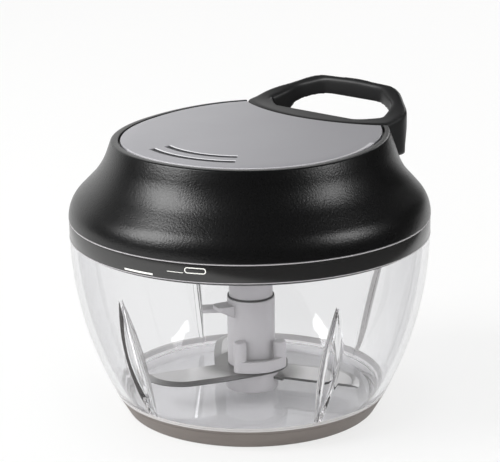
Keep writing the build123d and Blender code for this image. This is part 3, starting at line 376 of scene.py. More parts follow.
bladeLook = {
    "dark": rgb(0.56, 0.55, 0.55), "light": rgb(0.68, 0.67, 0.67),
    "rough": 0.30, "roughSpread": 0.10, "cloudScale": 40.0,
    "lineScale": 3500.0, "stretch": (0.10, 1.0, 1.0), "lineStrength": 0.06, "lineDepth": 0.00002,
    "edgeColour": rgb(0.035, 0.034, 0.034), "edgeTilt": (0.955, 0.992),
    "rootColour": rgb(0.16, 0.155, 0.15), "rootReach": (14.0, 24.0),
}
steelLook = {
    "dark": rgb(0.46, 0.46, 0.47), "light": rgb(0.60, 0.60, 0.61),
    "rough": 0.28, "roughSpread": 0.12, "cloudScale": 120.0,
    "lineScale": 1500.0, "stretch": (1.0, 1.0, 0.15), "lineStrength": 0.12, "lineDepth": 0.00004,
}
springLook = {
    "dark": rgb(0.10, 0.115, 0.15), "light": rgb(0.19, 0.20, 0.24),
    "rough": 0.30, "roughSpread": 0.12, "cloudScale": 60.0,
    "lineScale": 1500.0, "stretch": (1.0, 1.0, 0.1), "lineStrength": 0.10, "lineDepth": 0.00004,
}
brassLook = {
    "dark": rgb(0.50, 0.34, 0.12), "light": rgb(0.66, 0.47, 0.19),
    "rough": 0.30, "roughSpread": 0.14, "cloudScale": 80.0,
    "lineScale": 1200.0, "stretch": (0.2, 0.2, 1.0), "lineStrength": 0.14, "lineDepth": 0.00004,
}


# painted shade on the blades: faces that tilt away from flat, as at a blade's ground edge, are painted dark,
# and so is its root under the column
def bladePaintedShade(graph, colour, look):
    x, y, _ = graph.axes(graph.add("ShaderNodeTexCoord", output=3))
    radius = graph.axisRadius(x, y)
    upward = graph.axes(graph.add("ShaderNodeNewGeometry", output=3))[2]
    flat = graph.slope(abs(upward), *look["edgeTilt"])
    away = graph.slope(radius, *look["rootReach"])
    return graph.mixed(flat, look["edgeColour"], graph.mixed(away, look["rootColour"], colour))


# clear bowl plastic: shadow rays and diffuse rays pass straight through it, and its colour is painted darker
# towards its sides as painted shade
clearLook = {
    "tint": rgb(0.940, 0.941, 0.948), "paintedSideShade": rgb(0.770, 0.772, 0.800), "sideFrom": 0.28, "sideTo": 0.95,
    "deepPaintedShade": rgb(0.42, 0.41, 0.41), "rough": 0.0, "ior": 1.49,
    "shadowTint": rgb(0.965, 0.967, 0.975),
    "rippleScale": 55.0, "rippleStrength": 0.03, "rippleDepth": 0.0003, "lastBounce": 4.5,
}


def clearPlastic(name, look):
    material, graph = newFinish(name)
    ripple = graph.noise(look["rippleScale"], 1.0)
    normal = graph.bumped(ripple, look["rippleStrength"], look["rippleDepth"])
    # painted shade: the bowl's colour darkens where its surface turns away from the view
    facing = graph.add("ShaderNodeLayerWeight", output=1)
    toSide = graph.slope(facing, look["sideFrom"], look["sideTo"])
    colour = graph.mixed(toSide, look["tint"], look["paintedSideShade"])
    glass = graph.principled({
        "Base Color": colour, "Roughness": look["rough"], "IOR": look["ior"],
        "Transmission Weight": 1.0, "Normal": normal})
    through = graph.add("ShaderNodeBsdfTransparent", None, {"Color": look["shadowTint"]})
    shadowRay, diffuseRay, depth = graph.rays("Is Shadow Ray", "Is Diffuse Ray", "Ray Depth")
    # painted shade: rays past the last bounce that don't pass straight through go through a grey, which
    # darkens the lines mostly in the creases
    deepRay = depth > look["lastBounce"]
    passing = shadowRay.maths("MAXIMUM", shadowRay, diffuseRay)
    lit = graph.add("ShaderNodeMixShader", None, {0: passing, 1: glass, 2: through})
    dim = graph.add("ShaderNodeBsdfTransparent", None, {"Color": look["deepPaintedShade"]})
    return closeFinish(material, graph, graph.add(
        "ShaderNodeMixShader", None, {0: deepRay * (1 - passing), 1: lit, 2: dim}))


# cord: braided white fibre, with painted shade in the grooves between the strands
braidLook = {
    "dark": rgb(0.40, 0.39, 0.36), "light": rgb(0.74, 0.73, 0.69),
    "braidScale": 900.0, "rough": 0.8, "braidStrength": 0.6, "braidDepth": 0.0002,
}


def braidedCord(name, look):
    material, graph = newFinish(name)
    braid = graph.add("ShaderNodeTexVoronoi", {"feature": "DISTANCE_TO_EDGE"},
                      {"Vector": graph.place(), "Scale": look["braidScale"]})
    lit = graph.ramp(braid, [(0.0, rgb(0, 0, 0)), (0.25, rgb(1, 1, 1))])
    # painted shade: the braid is darker where the strands meet
    colour = graph.mixed(lit, look["dark"], look["light"])
    normal = graph.bumped(lit, look["braidStrength"], look["braidDepth"])
    return closeFinish(material, graph, graph.principled({
        "Base Color": colour, "Roughness": look["rough"], "Normal": normal}))


finishes = {
    "lid_black": mouldedPlastic("lidBlack", lidLook),
    "handle_black": mouldedPlastic("handleBlack", handleLook),
    "cover_black": mouldedPlastic("coverBlack", coverLook),
    "band": mouldedPlastic("bandBlack", bandLook),
    "foot": mouldedPlastic("footPale", footLook),
    "plate_grey": mouldedPlastic("plateGrey", plateLook, platePaintedLightAndShade),
    "base_grey": mouldedPlastic("baseTaupe", baseLook, baseTint),
    "column_grey": mouldedPlastic("columnGrey", columnLook),
    "gear_white": mouldedPlastic("gearWhite", gearLook),
    "seal_silicone": mouldedPlastic("sealBlack", sealLook),
    "blade_steel": brushedMetal("bladeSteel", bladeLook, bladePaintedShade),
    "steel": brushedMetal("plainSteel", steelLook),
    "spring_steel": brushedMetal("springSteel", springLook),
    "bush_brass": brushedMetal("turnedBrass", brassLook),
    "clear_plastic": clearPlastic("clearPlastic", clearLook),
    "cord_white": braidedCord("braidedCord", braidLook),
}
for part in frame["record"]["subparts"]:
    mesh = nodes[part["node"]].data
    mesh.materials.clear()
    mesh.materials.append(finishes[part["material_slot"]])
print("materials set on the CAD nodes:", len(finishes))


# a finished piece gets its finish, its body and the nodes it stands for
def settle(piece, body, slot, *replaced, finish=None):
    piece.data.materials.clear()
    piece.data.materials.append(finishes[finish or slot])
    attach(piece, body)
    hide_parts(*replaced)
    print("made", piece.name, len(piece.data.polygons), "faces")
    return piece


# profiles are (radius, height) points; a corner between two of them may be rounded
def roundCorner(before, corner, after, radius, steps):
    toBefore = (Vector(before) - Vector(corner)).normalized()
    toAfter = (Vector(after) - Vector(corner)).normalized()
    half = toBefore.angle(toAfter) / 2
    centre = Vector(corner) + (toBefore + toAfter).normalized() * (radius / math.sin(half))
    first = Vector(corner) + toBefore * (radius / math.tan(half)) - centre
    last = Vector(corner) + toAfter * (radius / math.tan(half)) - centre
    start = math.atan2(first.y, first.x)
    sweep = (math.atan2(last.y, last.x) - start + math.pi) % (2 * math.pi) - math.pi
    return [(centre.x + radius * math.cos(start + sweep * step / steps),
             centre.y + radius * math.sin(start + sweep * step / steps)) for step in range(steps + 1)]


def roundedProfile(corners):  # corners are (radius, height, rounding) with an optional step count
    profile = []
    for index, corner in enumerate(corners):
        if len(corner) == 2:
            profile.append(corner)
        else:
            steps = corner[3] if len(corner) > 3 else 4
            profile += roundCorner(corners[index - 1][:2], corner[:2],
                                   corners[(index + 1) % len(corners)][:2], corner[2], steps)
    return profile


# a turned piece: a circle is extruded ring by ring, and flat ends are filled or the loop is closed
def lathe(name, profile, count, closed=False):
    deselectAll()
    radius, height = profile[0]
    bpy.ops.mesh.primitive_circle_add(vertices=count, radius=radius * mm, location=(0, 0, height * mm))
    piece = bpy.context.active_object
    editAll()
    if not closed:
        bpy.ops.mesh.edge_face_add()
        bpy.ops.object.mode_set(mode="OBJECT")
        piece.data.polygons.foreach_set("select", [False] * len(piece.data.polygons))
        bpy.ops.object.mode_set(mode="EDIT")
        bpy.context.tool_settings.mesh_select_mode = (False, True, False)
        bpy.ops.mesh.select_all(action="DESELECT")
        bpy.ops.mesh.select_non_manifold(extend=False)
    for nextRadius, nextHeight in (profile[1:] + profile[:1] if closed else profile[1:]):
        bpy.ops.mesh.extrude_edges_move(TRANSFORM_OT_translate={"value": (0, 0, (nextHeight - height) * mm)})
        share = nextRadius / radius
        bpy.ops.transform.resize(value=(share, share, 1), center_override=(0, 0, nextHeight * mm))
        radius, height = nextRadius, nextHeight
    if not closed:
        bpy.ops.mesh.edge_face_add()
    bpy.ops.mesh.select_all(action="SELECT")
    bpy.ops.mesh.remove_doubles(threshold=0.01 * mm)
    fixNormals()
    return fixPlace(piece, name)


def arcThrough(first, middle, last):  # centre and radius of a circle through three points
    (ax, ay), (bx, by), (cx, cy) = first, middle, last
    side = 2 * (ax * (by - cy) + bx * (cy - ay) + cx * (ay - by))
    a, b, c = ax * ax + ay * ay, bx * bx + by * by, cx * cx + cy * cy
    x = (a * (by - cy) + b * (cy - ay) + c * (ay - by)) / side
    y = (a * (cx - bx) + b * (ax - cx) + c * (bx - ax)) / side
    return Vector((x, y)), math.hypot(ax - x, ay - y)


# clear bowl, with four folded creases in its wall
bowlShape = {
    "foot": (53.0, 6.9), "middle": (65.426, 37.989), "top": (69.9, 71.4), "wall": 2.6,
    "bottom": 2.5, "inside": 6.1, "footLow": 48.03, "footHigh": 50.7, "footRounding": 2.0,
    "rim": 69.9, "rimStart": 74.0, "rimTop": 78.2, "rimInside": 67.3, "bandHeight": 71.4,
    "cornerRounding": 5.0, "bossRadius": 5.4, "bossTop": 7.2, "wallSteps": 52,
    "creaseAngles": (66.0, 177.5, 249.5, 344.5), "creaseLow": 7.8, "creaseHigh": 58.0,
    "creaseDepth": 5.0, "creaseHalf": 2.3, "foldHalf": 4.0, "foldExtra": 0.85,
    "apexSoft": 0.16, "mouthSoft": 0.22,
    "ribDepth": 1.3, "ribFirst": -50.0, "ribLast": -12.5, "stopLast": -33.5,
    "ribLow": 75.2, "ribHigh": 76.8, "stopLow": 73.2,
    "fineStep": 0.25, "fineReach": 5.0, "coarseCount": 48,
    "floorStart": 3.0, "floorNext": 3.5, "floorEdge": 5.0, "floorRing": 20.0, "wallRing": 1.5,
    "footGap": 0.1, "bossFoot": 0.8, "bossSoft": 0.2, "bossEdge": 0.3, "rimRounding": 0.35,
    "seam": 0.04, "creaseEnd": 0.06, "creaseSpan": 12, "foldRise": 0.3, "nearWall": 0.06,
}


def softFold(share, look):  # a V of height 1 with a soft apex and a soft mouth
    rise = 1 - math.sqrt(share * share + look["apexSoft"] ** 2)
    blend = max(look["mouthSoft"] - abs(rise), 0) / look["mouthSoft"]
    return max(rise, 0) + blend * blend * look["mouthSoft"] / 4


def makeBowl(look):
    centre, curve = arcThrough(look["foot"], look["middle"], look["top"])
    inner = curve - look["wall"]

    def wallRadius(height, size):
        return centre.x + math.sqrt(size * size - (height - centre.y) ** 2)

    def wallRun(low, high, size):
        steps = look["wallSteps"]
        heights = [low + (high - low) * step / steps for step in range(steps + 1)]
        return [(wallRadius(height, size), height) for height in heights]

    low, high = look["foot"][1] + look["footGap"], look["bandHeight"]
    cornerHeight = look["inside"] + look["cornerRounding"]
    corner = (wallRadius(look["inside"], inner), look["inside"], look["cornerRounding"], 8)
    ringHeight = cornerHeight + look["wallRing"]
    wallAbove = (wallRadius(ringHeight, inner), ringHeight)
    bottom, footLow = look["bottom"], look["footLow"]
    profile = [(look["floorStart"], bottom), (look["floorNext"], bottom),
               (footLow - look["floorEdge"], bottom)]
    profile += roundCorner((look["floorStart"], bottom), (footLow, bottom),
                           (look["footHigh"], low), look["footRounding"], 4)
    profile += [(look["footHigh"], low)]
    profile += wallRun(low, high, curve)
    rim, rimInside = look["rim"], look["rimInside"]
    rimPath = [(rim, look["rimStart"]), (rim, look["rimTop"]),
               (rimInside, look["rimTop"]), (rimInside, high)]
    profile += rimPath[:1]
    for before, edge, after in zip(rimPath, rimPath[1:], rimPath[2:]):
        profile += roundCorner(before, edge, after, look["rimRounding"], 3)
    for height in (look["ribHigh"], look["ribLow"], look["stopLow"]):
        profile += [(rimInside, height + look["seam"]), (rimInside, height - look["seam"])]
    profile += wallRun(high, wallAbove[1], inner)
    boss, inside = look["bossRadius"], look["inside"]
    profile += roundCorner(wallAbove, corner[:2], (boss, inside), corner[2], corner[3])
    profile += [(corner[0] - look["cornerRounding"] - look["wallRing"], inside), (look["floorRing"], inside)]
    profile += [(boss + look["bossFoot"], inside), (boss + look["bossSoft"], inside),
                (boss, inside + look["bossSoft"]), (boss, look["bossTop"] - look["bossEdge"]),
                (boss - look["bossEdge"], look["bossTop"])]

    # every ring has its points close together at the creases
    fine, reach = look["fineStep"], look["fineReach"]
    stations = []
    angles = look["creaseAngles"]
    for index, angle in enumerate(angles):
        steps = round(2 * reach / fine)
        stations += [angle - reach + fine * step for step in range(steps)]
        following = angles[(index + 1) % len(angles)] + (360 if index == len(angles) - 1 else 0)
        gap = following - angle - 2 * reach
        stations += [angle + reach + gap * step / look["coarseCount"] for step in range(look["coarseCount"])]
    piece = lathe("bowlClear", profile, len(stations))

    for vertex in piece.data.vertices:
        x, y, height = vertex.co / mm
        radius = math.hypot(x, y)
        index = round(math.degrees(math.atan2(y, x)) % 360 / 360 * len(stations)) % len(stations)
        angle = stations[index]
        reached = math.hypot(radius - centre.x, height - centre.y)
        isOuter = abs(reached - curve) < look["nearWall"]
        isInner = abs(reached - inner) < look["nearWall"]
        share = (height - look["creaseLow"]) / (look["creaseHigh"] - look["creaseLow"])
        fold = 0.0
        if (isOuter or isInner) and 0 < share < 1:
            swell = look["creaseEnd"] + (1 - look["creaseEnd"]) * math.sin(math.pi * share)
            half = (look["creaseHalf"] if isOuter else look["foldHalf"]) * swell
            depth = look["creaseDepth"] * swell
            if isInner:
                depth += look["foldExtra"] * min(1, swell / look["foldRise"])
            for crease in angles:
                off = (angle - crease + 180) % 360 - 180
                if abs(off) < look["creaseSpan"]:
                    fold = depth * softFold(abs(radius * math.sin(math.radians(off))) / half, look)
        if fold:
            outward = Vector((radius - centre.x, height - centre.y)).normalized()
            radius -= outward.x * fold
            height -= outward.y * fold
        turn = (angle + 90) % 90 - 90  # from -90 to 0, as the lock ribs repeat four times
        underRib = abs(height - (look["ribLow"] - look["seam"])) < 0.01
        isRib = look["ribLow"] - 0.06 < height < look["ribHigh"] + 0.06 and not underRib
        isStop = look["stopLow"] - 0.02 < height < look["ribLow"] + 0.02
        if abs(radius - rimInside) < 0.02:
            if isRib and height < look["ribHigh"] and look["ribFirst"] < turn < look["ribLast"]:
                radius -= look["ribDepth"]
            elif isStop and look["ribFirst"] < turn < look["stopLast"]:
                radius -= look["ribDepth"]
        turned = math.radians(angle)
        vertex.co = Vector((radius * math.cos(turned), radius * math.sin(turned), height)) * mm
    return smoothed(piece, 50)


settle(makeBowl(bowlShape), "bowl_body", "clear_plastic", "bowl")

# dark band round the rim, with a pale line along its foot and a painted highlight line along its top, where
# the clear rim's edge catches the light
bandShape = {"inner": 69.45, "rounding": 0.1, "sides": 288}
bandRings = {
    "rimBand": {"outer": 69.98, "low": 71.5, "high": 77.98, "slot": "cover_black", "finish": "band"},
    "rimTopHighlight": {"outer": 69.98, "low": 77.98, "high": 78.36, "slot": "column_grey"},
    "rimFootLine": {"outer": 70.06, "low": 71.2, "high": 71.5, "slot": "column_grey"},
}


def makeBandRing(name, look, ring):
    inner, soft = look["inner"], look["rounding"]
    return smoothed(lathe(name, roundedProfile([
        (inner, ring["low"]), (ring["outer"], ring["low"], soft, 2),
        (ring["outer"], ring["high"], soft, 2), (inner, ring["high"])]), look["sides"], True))


for name, ring in bandRings.items():
    settle(makeBandRing(name, bandShape, ring), "bowl_body", ring["slot"], finish=ring.get("finish"))

# the pad's lip goes up round the bowl's foot, which shows above it as a pale ring with a line round it
footShape = {
    "lipLow": 6.95, "low": 8.0, "high": 9.7, "wall": 1.1, "proud": 0.03,
    "lineLow": 8.7, "lineHigh": 9.0, "lineDepth": 0.25, "lineSlant": 0.1,
}


def makeFootRing(name, outline):
    centre, curve = arcThrough(bowlShape["foot"], bowlShape["middle"], bowlShape["top"])
    return smoothed(lathe(name, [
        (centre.x + math.sqrt(curve * curve - (height - centre.y) ** 2) + extra, height)
        for height, extra in outline], 256, True), 30)


def footOutline(look):
    return [(look["low"], -look["wall"]), (look["low"], look["proud"]), (look["lineLow"], look["proud"]),
            (look["lineLow"] + look["lineSlant"], -look["lineDepth"]),
            (look["lineHigh"] - look["lineSlant"], -look["lineDepth"]), (look["lineHigh"], look["proud"]),
            (look["high"], look["proud"]), (look["high"], -look["wall"])]


def lipOutline(look):
    return [(look["lipLow"], -look["wall"]), (look["lipLow"], look["proud"]),
            (look["low"], look["proud"]), (look["low"], -look["wall"])]


settle(makeFootRing("bowlFootBand", footOutline(footShape)), "bowl_body", "base_grey", finish="foot")
settle(makeFootRing("basePadLip", lipOutline(footShape)), "bowl_body", "base_grey")

# lock marks on the band: a pale bar, a long ring and the thin line beside it
markShape = {"radius": 69.75, "depth": 0.34, "ringWall": 0.34, "columns": 16}
marks = {
    "lockBar": {"first": 181.1, "last": 191.7, "height": 72.45, "tall": 0.62, "open": False},
    "lockRing": {"first": 202.2, "last": 208.9, "height": 75.6, "tall": 2.3, "open": True},
    "lockLine": {"first": 196.6, "last": 201.8, "height": 74.5, "tall": 0.2, "open": False},
}


def makeMark(name, look, mark):
    half = mark["tall"] / 2
    length = math.radians(mark["last"] - mark["first"]) * look["radius"] - 2 * half
    deselectAll()
    if mark["open"]:
        bpy.ops.mesh.primitive_circle_add(vertices=32, radius=half * mm, fill_type="NGON")
        piece = bpy.context.active_object
        editWith(piece, lambda place: place.x > 0.001)  # one half moves away, which leaves a long ring
        bpy.ops.transform.translate(value=(length * mm, 0, 0))
        bpy.context.tool_settings.mesh_select_mode = (False, False, True)
        bpy.ops.mesh.select_all(action="SELECT")
        bpy.ops.mesh.inset(thickness=look["ringWall"] * mm)
        bpy.ops.mesh.delete(type="FACE")
    else:
        bpy.ops.mesh.primitive_grid_add(x_subdivisions=look["columns"], y_subdivisions=2, size=1,
                                        location=(length / 2 * mm, 0, 0))
        piece = bpy.context.active_object
        piece.scale = ((length + 2 * half) * mm, 2 * half * mm, 1)
        fixPlace(piece, name)
        bpy.ops.object.mode_set(mode="EDIT")
    piece.name = name
    bpy.ops.mesh.select_all(action="SELECT")
    bpy.ops.mesh.extrude_region_move(TRANSFORM_OT_translate={"value": (0, 0, look["depth"] * mm)})
    bpy.ops.mesh.select_all(action="SELECT")
    bpy.ops.mesh.subdivide(number_cuts=3)
    fixNormals()
    start = math.radians(mark["first"]) + half / look["radius"]
    for vertex in piece.data.vertices:  # flat mark to the curved rim
        along, up, out = vertex.co / mm
        turn = start + along / look["radius"]
        reach = look["radius"] + out
        vertex.co = Vector((reach * math.cos(turn), reach * math.sin(turn), mark["height"] + up)) * mm
    makeActive(piece)
    bpy.ops.object.mode_set(mode="EDIT")
    fixNormals()
    return smoothed(piece, 40)


for name, mark in marks.items():
    settle(makeMark(name, markShape, mark), "bowl_body", "gear_white")

# taupe base pad with a rounded foot and grooves below
padShape = {
    "lowRadius": 48.9, "topRadius": 53.0, "height": 6.9, "floor": 2.4, "innerTop": 50.8, "innerLow": 48.13,
    "edgeRounding": 1.6, "topRounding": 0.35, "innerRounding": 0.2, "floorRounding": 0.3, "middle": 6.0,
    "grooves": (20.0, 30.0, 40.0), "grooveHalf": 0.8, "grooveDepth": 0.6, "grooveRounding": 0.15,
}


def makeBasePad(look):
    corners = [(look["middle"], 0.0)]
    depth, soft = look["grooveDepth"], look["grooveRounding"]
    for groove in look["grooves"]:
        near, far = groove - look["grooveHalf"], groove + look["grooveHalf"]
        corners += [(near, 0, soft, 2), (near, depth, soft, 2), (far, depth, soft, 2), (far, 0, soft, 2)]
    corners += [(look["lowRadius"], 0, look["edgeRounding"], 6),
                (look["topRadius"], look["height"], look["topRounding"], 4),
                (look["innerTop"], look["height"], look["innerRounding"], 2),
                (look["innerLow"], look["floor"], look["floorRounding"], 2), (look["middle"], look["floor"])]
    return smoothed(lathe("basePadTaupe", roundedProfile(corners), 224))


settle(makeBasePad(padShape), "bowl_body", "base_grey", "base_pad")

# top surface of the lid: it falls away from the handle and across
crown = {"height": 110.35, "slope": math.tan(math.radians(1.95)), "sag": 1.94, "half": 60.0}


def crownRise(x, y):
    return crown["slope"] * x - crown["sag"] * (y / crown["half"]) ** 2


# the lid's upper part reaches a little further out beside the handle, as two soft ears
ears = {
    "angle": 46.0, "spread": 50.0, "reach": 2.0, "low": 86.0, "high": 106.0,
    "nearRadius": 30.0, "farRadius": 48.0,
}


def addEars(piece, look):
    for vertex in piece.data.vertices:
        x, y, height = vertex.co / mm
        radius = max(math.hypot(x, y), 0.01)
        off = min(abs(abs(math.degrees(math.atan2(y, x))) - look["angle"]) / look["spread"], 1)
        rise = min(max((height - look["low"]) / (look["high"] - look["low"]), 0), 1)
        outer = min(max((radius - look["nearRadius"]) / (look["farRadius"] - look["nearRadius"]), 0), 1)
        push = look["reach"] * math.cos(off * math.pi / 2) ** 2 * rise * rise * (3 - 2 * rise) * outer
        vertex.co.x *= 1 + push / radius
        vertex.co.y *= 1 + push / radius


# black lid: a domed shell with a rounded rim lip, cut out in front where the handle sits
lidShape = {
    "rim": 70.1, "edge": 78.5, "corner": 84.2, "neck": (57.0, 97.4), "topRadius": 52.29,
    "shoulderArc": 13.2, "neckArc": 30.0, "lipRounding": 0.9, "recessRadius": 50.2, "recessDepth": 1.8,
    "pocketRadius": 4.7, "pocketFloor": 105.6, "lean": 0.3636,
    "wall": 2.4, "ceiling": 104.4, "hollowTop": 49.8, "deck": 96.6, "frontX": 92.4, "frontRadius": 64.4,
    "frontDepth": 30.0, "cordHeight": 99.85, "cordHole": 2.6, "holeDepth": 12, "holeX": 28,
    "rimInside": 60.0, "leanReach": 1.2, "hollowStart": 30.0, "hollowCorner": 83.2,
    "hollowNeck": (54.9, 96.2), "hollowDrop": 2,
}


def cutWith(piece, cutter):
    applyModifier(piece, "BOOLEAN", {"object": cutter, "operation": "DIFFERENCE", "solver": "EXACT"})
    bpy.data.objects.remove(cutter)


def makeFrontCutter(radius, low):
    deselectAll()
    depth = lidShape["frontDepth"]
    bpy.ops.mesh.primitive_cylinder_add(vertices=320, radius=radius * mm, depth=depth * mm,
                                        location=(lidShape["frontX"] * mm, 0, (low + depth / 2) * mm))
    return fixPlace(bpy.context.active_object, "frontCutter")


def makeLid(look):
    low, top, recess, pocket = look["edge"], crown["height"], look["recessRadius"], look["pocketRadius"]
    floor = top - look["recessDepth"]
    outer = roundedProfile([
        (look["rimInside"], low), (look["rim"], low, 0.3, 2),
        (look["rim"], look["corner"], look["shoulderArc"], 14),
        (*look["neck"], look["neckArc"], 12), (look["topRadius"], top, look["lipRounding"], 5),
        (recess, top, 0.25, 2), (recess, floor), (pocket, floor), (pocket, look["pocketFloor"])])
    shell = lathe("lidShell", outer, 240)
    for vertex in shell.data.vertices:  # the top rings follow the crown, and the lip leans with the side
        x, y, height = vertex.co / mm
        radius = math.hypot(x, y)
        if height > floor - 0.1 and radius > 1:
            rise = crownRise(x, y)
            weight = min(max((radius - recess) / look["leanReach"], 0), 1)
            share = (radius - look["lean"] * rise * weight) / radius
            vertex.co = Vector((x * share, y * share, height + rise)) * mm
    addEars(shell, ears)
    wall, start, foot = look["wall"], look["hollowStart"], low - look["hollowDrop"]
    hollow = lathe("lidHollow", roundedProfile([
        (start, foot), (look["rim"] - wall, foot),
        (look["rim"] - wall, look["hollowCorner"], look["shoulderArc"] - wall, 8),
        (*look["hollowNeck"], look["neckArc"], 8), (look["hollowTop"], look["ceiling"]),
        (start, look["ceiling"])]), 160)
    cutWith(hollow, makeFrontCutter(look["frontRadius"] + wall, look["deck"] - wall))
    cutWith(shell, makeFrontCutter(look["frontRadius"], look["deck"]))
    cutWith(shell, hollow)
    deselectAll()
    bpy.ops.mesh.primitive_cylinder_add(vertices=32, radius=look["cordHole"] * mm,
                                        depth=look["holeDepth"] * mm,
                                        location=(look["holeX"] * mm, 0, look["cordHeight"] * mm),
                                        rotation=(0, math.pi / 2, 0))
    cutWith(shell, fixPlace(bpy.context.active_object, "cordHoleCutter"))
    return smoothed(shell, 32)


settle(makeLid(lidShape), "lid_body", "lid_black", "lid_shell")


# copies of CAD nodes with softer edges, as moulding leaves them
def mergedCopy(node, name):
    piece = bpy.data.objects.new(name, nodes[node].data.copy())
    bpy.context.scene.collection.objects.link(piece)
    makeActive(piece)
    bpy.ops.mesh.customdata_custom_splitnormals_clear()
    editWith(piece, lambda place: True)
    bpy.ops.mesh.remove_doubles(threshold=0.005 * mm)
    bpy.ops.object.mode_set(mode="OBJECT")
    return piece


def remeshedCopy(node, name, voxel, rounds):
    piece = mergedCopy(node, name)
    applyModifier(piece, "REMESH", {"mode": "VOXEL", "voxel_size": voxel * mm})
    applyModifier(piece, "SMOOTH", {"factor": 0.5, "iterations": rounds})
    return smoothed(piece, 60)


softPieces = {
    "handleGrip": {"node": "pull_handle", "voxel": 0.5, "rounds": 24,
                   "body": "handle_body", "slot": "handle_black"},
    "columnTube": {"node": "blade_column", "voxel": 0.3, "rounds": 4,
                   "body": "blade_body", "slot": "column_grey"},
    "flangeArm": {"node": "blade_flange", "voxel": 0.18, "rounds": 4,
                  "body": "blade_body", "slot": "column_grey"},
    "paddleArm": {"node": "mixing_paddle", "voxel": 0.18, "rounds": 4,
                  "body": "blade_body", "slot": "column_grey"},
}
for name, look in softPieces.items():
    settle(remeshedCopy(look["node"], name, look["voxel"], look["rounds"]),
           look["body"], look["slot"], look["node"])

# grey top plate: a crowned disc, cut by the front and by two bars spun round the axis
plateShape = {
    "radius": 49.3, "low": 1.78, "ringStep": 5.0, "frontRadius": 64.9,
    "grooves": (35.0, 41.3), "grooveWidth": 2.0, "grooveDepth": 0.35, "first": 160.0, "sweep": 55.0,
    "edgeRounding": 0.3, "lowRounding": 0.15, "rings": 8, "frontLow": 95, "grooveTop": 3.5,
}


def makeArcBar(radius, width, low, high, first, sweep):
    deselectAll()
    bpy.ops.mesh.primitive_plane_add(size=1, location=(radius * mm, 0, (low + high) / 2 * mm),
                                     rotation=(math.pi / 2, 0, 0))
    bar = bpy.context.active_object
    bar.scale = (width * mm, (high - low) * mm, 1)
    fixPlace(bar, "arcBar")
    editAll()
    bpy.ops.mesh.spin(steps=math.ceil(sweep / 2), angle=math.radians(-sweep),
                      center=(0, 0, 0), axis=(0, 0, 1))
    fixNormals()
    bar.data.transform(Matrix.Rotation(math.radians(first), 4, "Z"))
    return bar


def makeTopPlate(look):
    top = crown["height"]
    radii = [look["radius"] - look["ringStep"] * step for step in range(1, look["rings"] + 1)]
    profile = [(radius, top - look["low"]) for radius in reversed(radii)]
    profile += roundedProfile([
        (radii[0], top - look["low"]), (look["radius"], top - look["low"], look["lowRounding"], 2),
        (look["radius"], top, look["edgeRounding"], 3), (radii[0], top)])[1:-1]
    profile += [(radius, top) for radius in radii]
    plate = lathe("topPlate", profile, 240)
    for vertex in plate.data.vertices:
        x, y, _ = vertex.co / mm
        vertex.co.z += crownRise(x, y) * mm
    addEars(plate, ears)
    cutWith(plate, makeFrontCutter(look["frontRadius"], look["frontLow"]))
    for radius in look["grooves"]:
        bar = makeArcBar(radius, look["grooveWidth"], top - look["grooveDepth"], top + look["grooveTop"],
                         look["first"], look["sweep"])
        for vertex in bar.data.vertices:
            x, y, _ = vertex.co / mm
            vertex.co.z += crownRise(x, y) * mm
        cutWith(plate, bar)
    return smoothed(plate, 32)


settle(makeTopPlate(plateShape), "lid_body", "plate_grey", "top_plate")

# the two lower blades have small roots, inside a pale collar under the upper blade
bladeRoots = {"radius": 12.7, "width": 5.0, "start": 102.0, "sweep": 246.0}
rootCuts = {
    "lower_blade": {"angle": 289.2, "low": 11.0, "high": 13.4, "name": "bladeLower"},
    "middle_blade": {"angle": 40.2, "low": 13.4, "high": 15.6, "name": "bladeMiddle"},
}
collarShape = {"outer": 10.5, "inner": 9.6, "low": 7.3, "high": 16.15, "rounding": 0.5}

for node, cut in rootCuts.items():
    blade = mergedCopy(node, cut["name"])
    cutWith(blade, makeArcBar(bladeRoots["radius"], bladeRoots["width"], cut["low"], cut["high"],
                              cut["angle"] + bladeRoots["start"], bladeRoots["sweep"]))
    settle(smoothed(blade, 25), "blade_body", "blade_steel", node)


def makeCollar(look):
    return smoothed(lathe("bladeCollar", roundedProfile([
        (look["inner"], look["low"]), (look["outer"], look["low"], look["rounding"], 4),
        (look["outer"], look["high"], 0.1, 2), (look["inner"], look["high"])]), 128, True))


settle(makeCollar(collarShape), "blade_body", "column_grey")
print("top plate, blade roots and collar done")

# pull cord: once round the reel, out through the eyelet and into the handle
cordLook = {
    "radius": 0.9, "height": 99.85, "turnRadius": 19.29,
    "wrapFirst": -233.56, "wrapLast": -33.56, "wrapStep": 20.0,
    "run": (22.8, 24.8, 26.0, 27.2, 28.4, 29.6, 31.0), "holdEnd": 24.8, "knotSeat": 31.0,
    "windingRadius": 16.95, "windingLow": 97.7, "windingPitch": 1.8, "windingTurns": 2.4, "turnPoints": 16,
    "innerRadius": 15.4, "knotWide": 1.52, "knotDeep": 0.58, "knotTube": 0.85, "knotMiddle": 32.45,
    "knotPoints": 30,
}


def tubeAlong(name, points, radius, loop=False, resolution=6):
    data = bpy.data.curves.new(name, "CURVE")
    data.dimensions = "3D"
    data.resolution_u = resolution
    data.bevel_depth = radius * mm
    data.bevel_resolution = 3
    data.use_fill_caps = not loop
    spline = data.splines.new("NURBS")
    spline.points.add(len(points) - 1)
    for target, point in zip(spline.points, points):
        target.co = (*(Vector(point) * mm), 1.0)
    spline.order_u = 3
    spline.use_endpoint_u = not loop
    spline.use_cyclic_u = loop
    piece = bpy.data.objects.new(name, data)
    bpy.context.scene.collection.objects.link(piece)
    makeActive(piece)
    bpy.ops.object.convert(target="MESH")
    piece = bpy.context.active_object
    piece.name = name
    return smoothed(piece, 80)


def onCircle(radius, degrees, height):
    turn = math.radians(degrees)
    return (radius * math.cos(turn), radius * math.sin(turn), height)


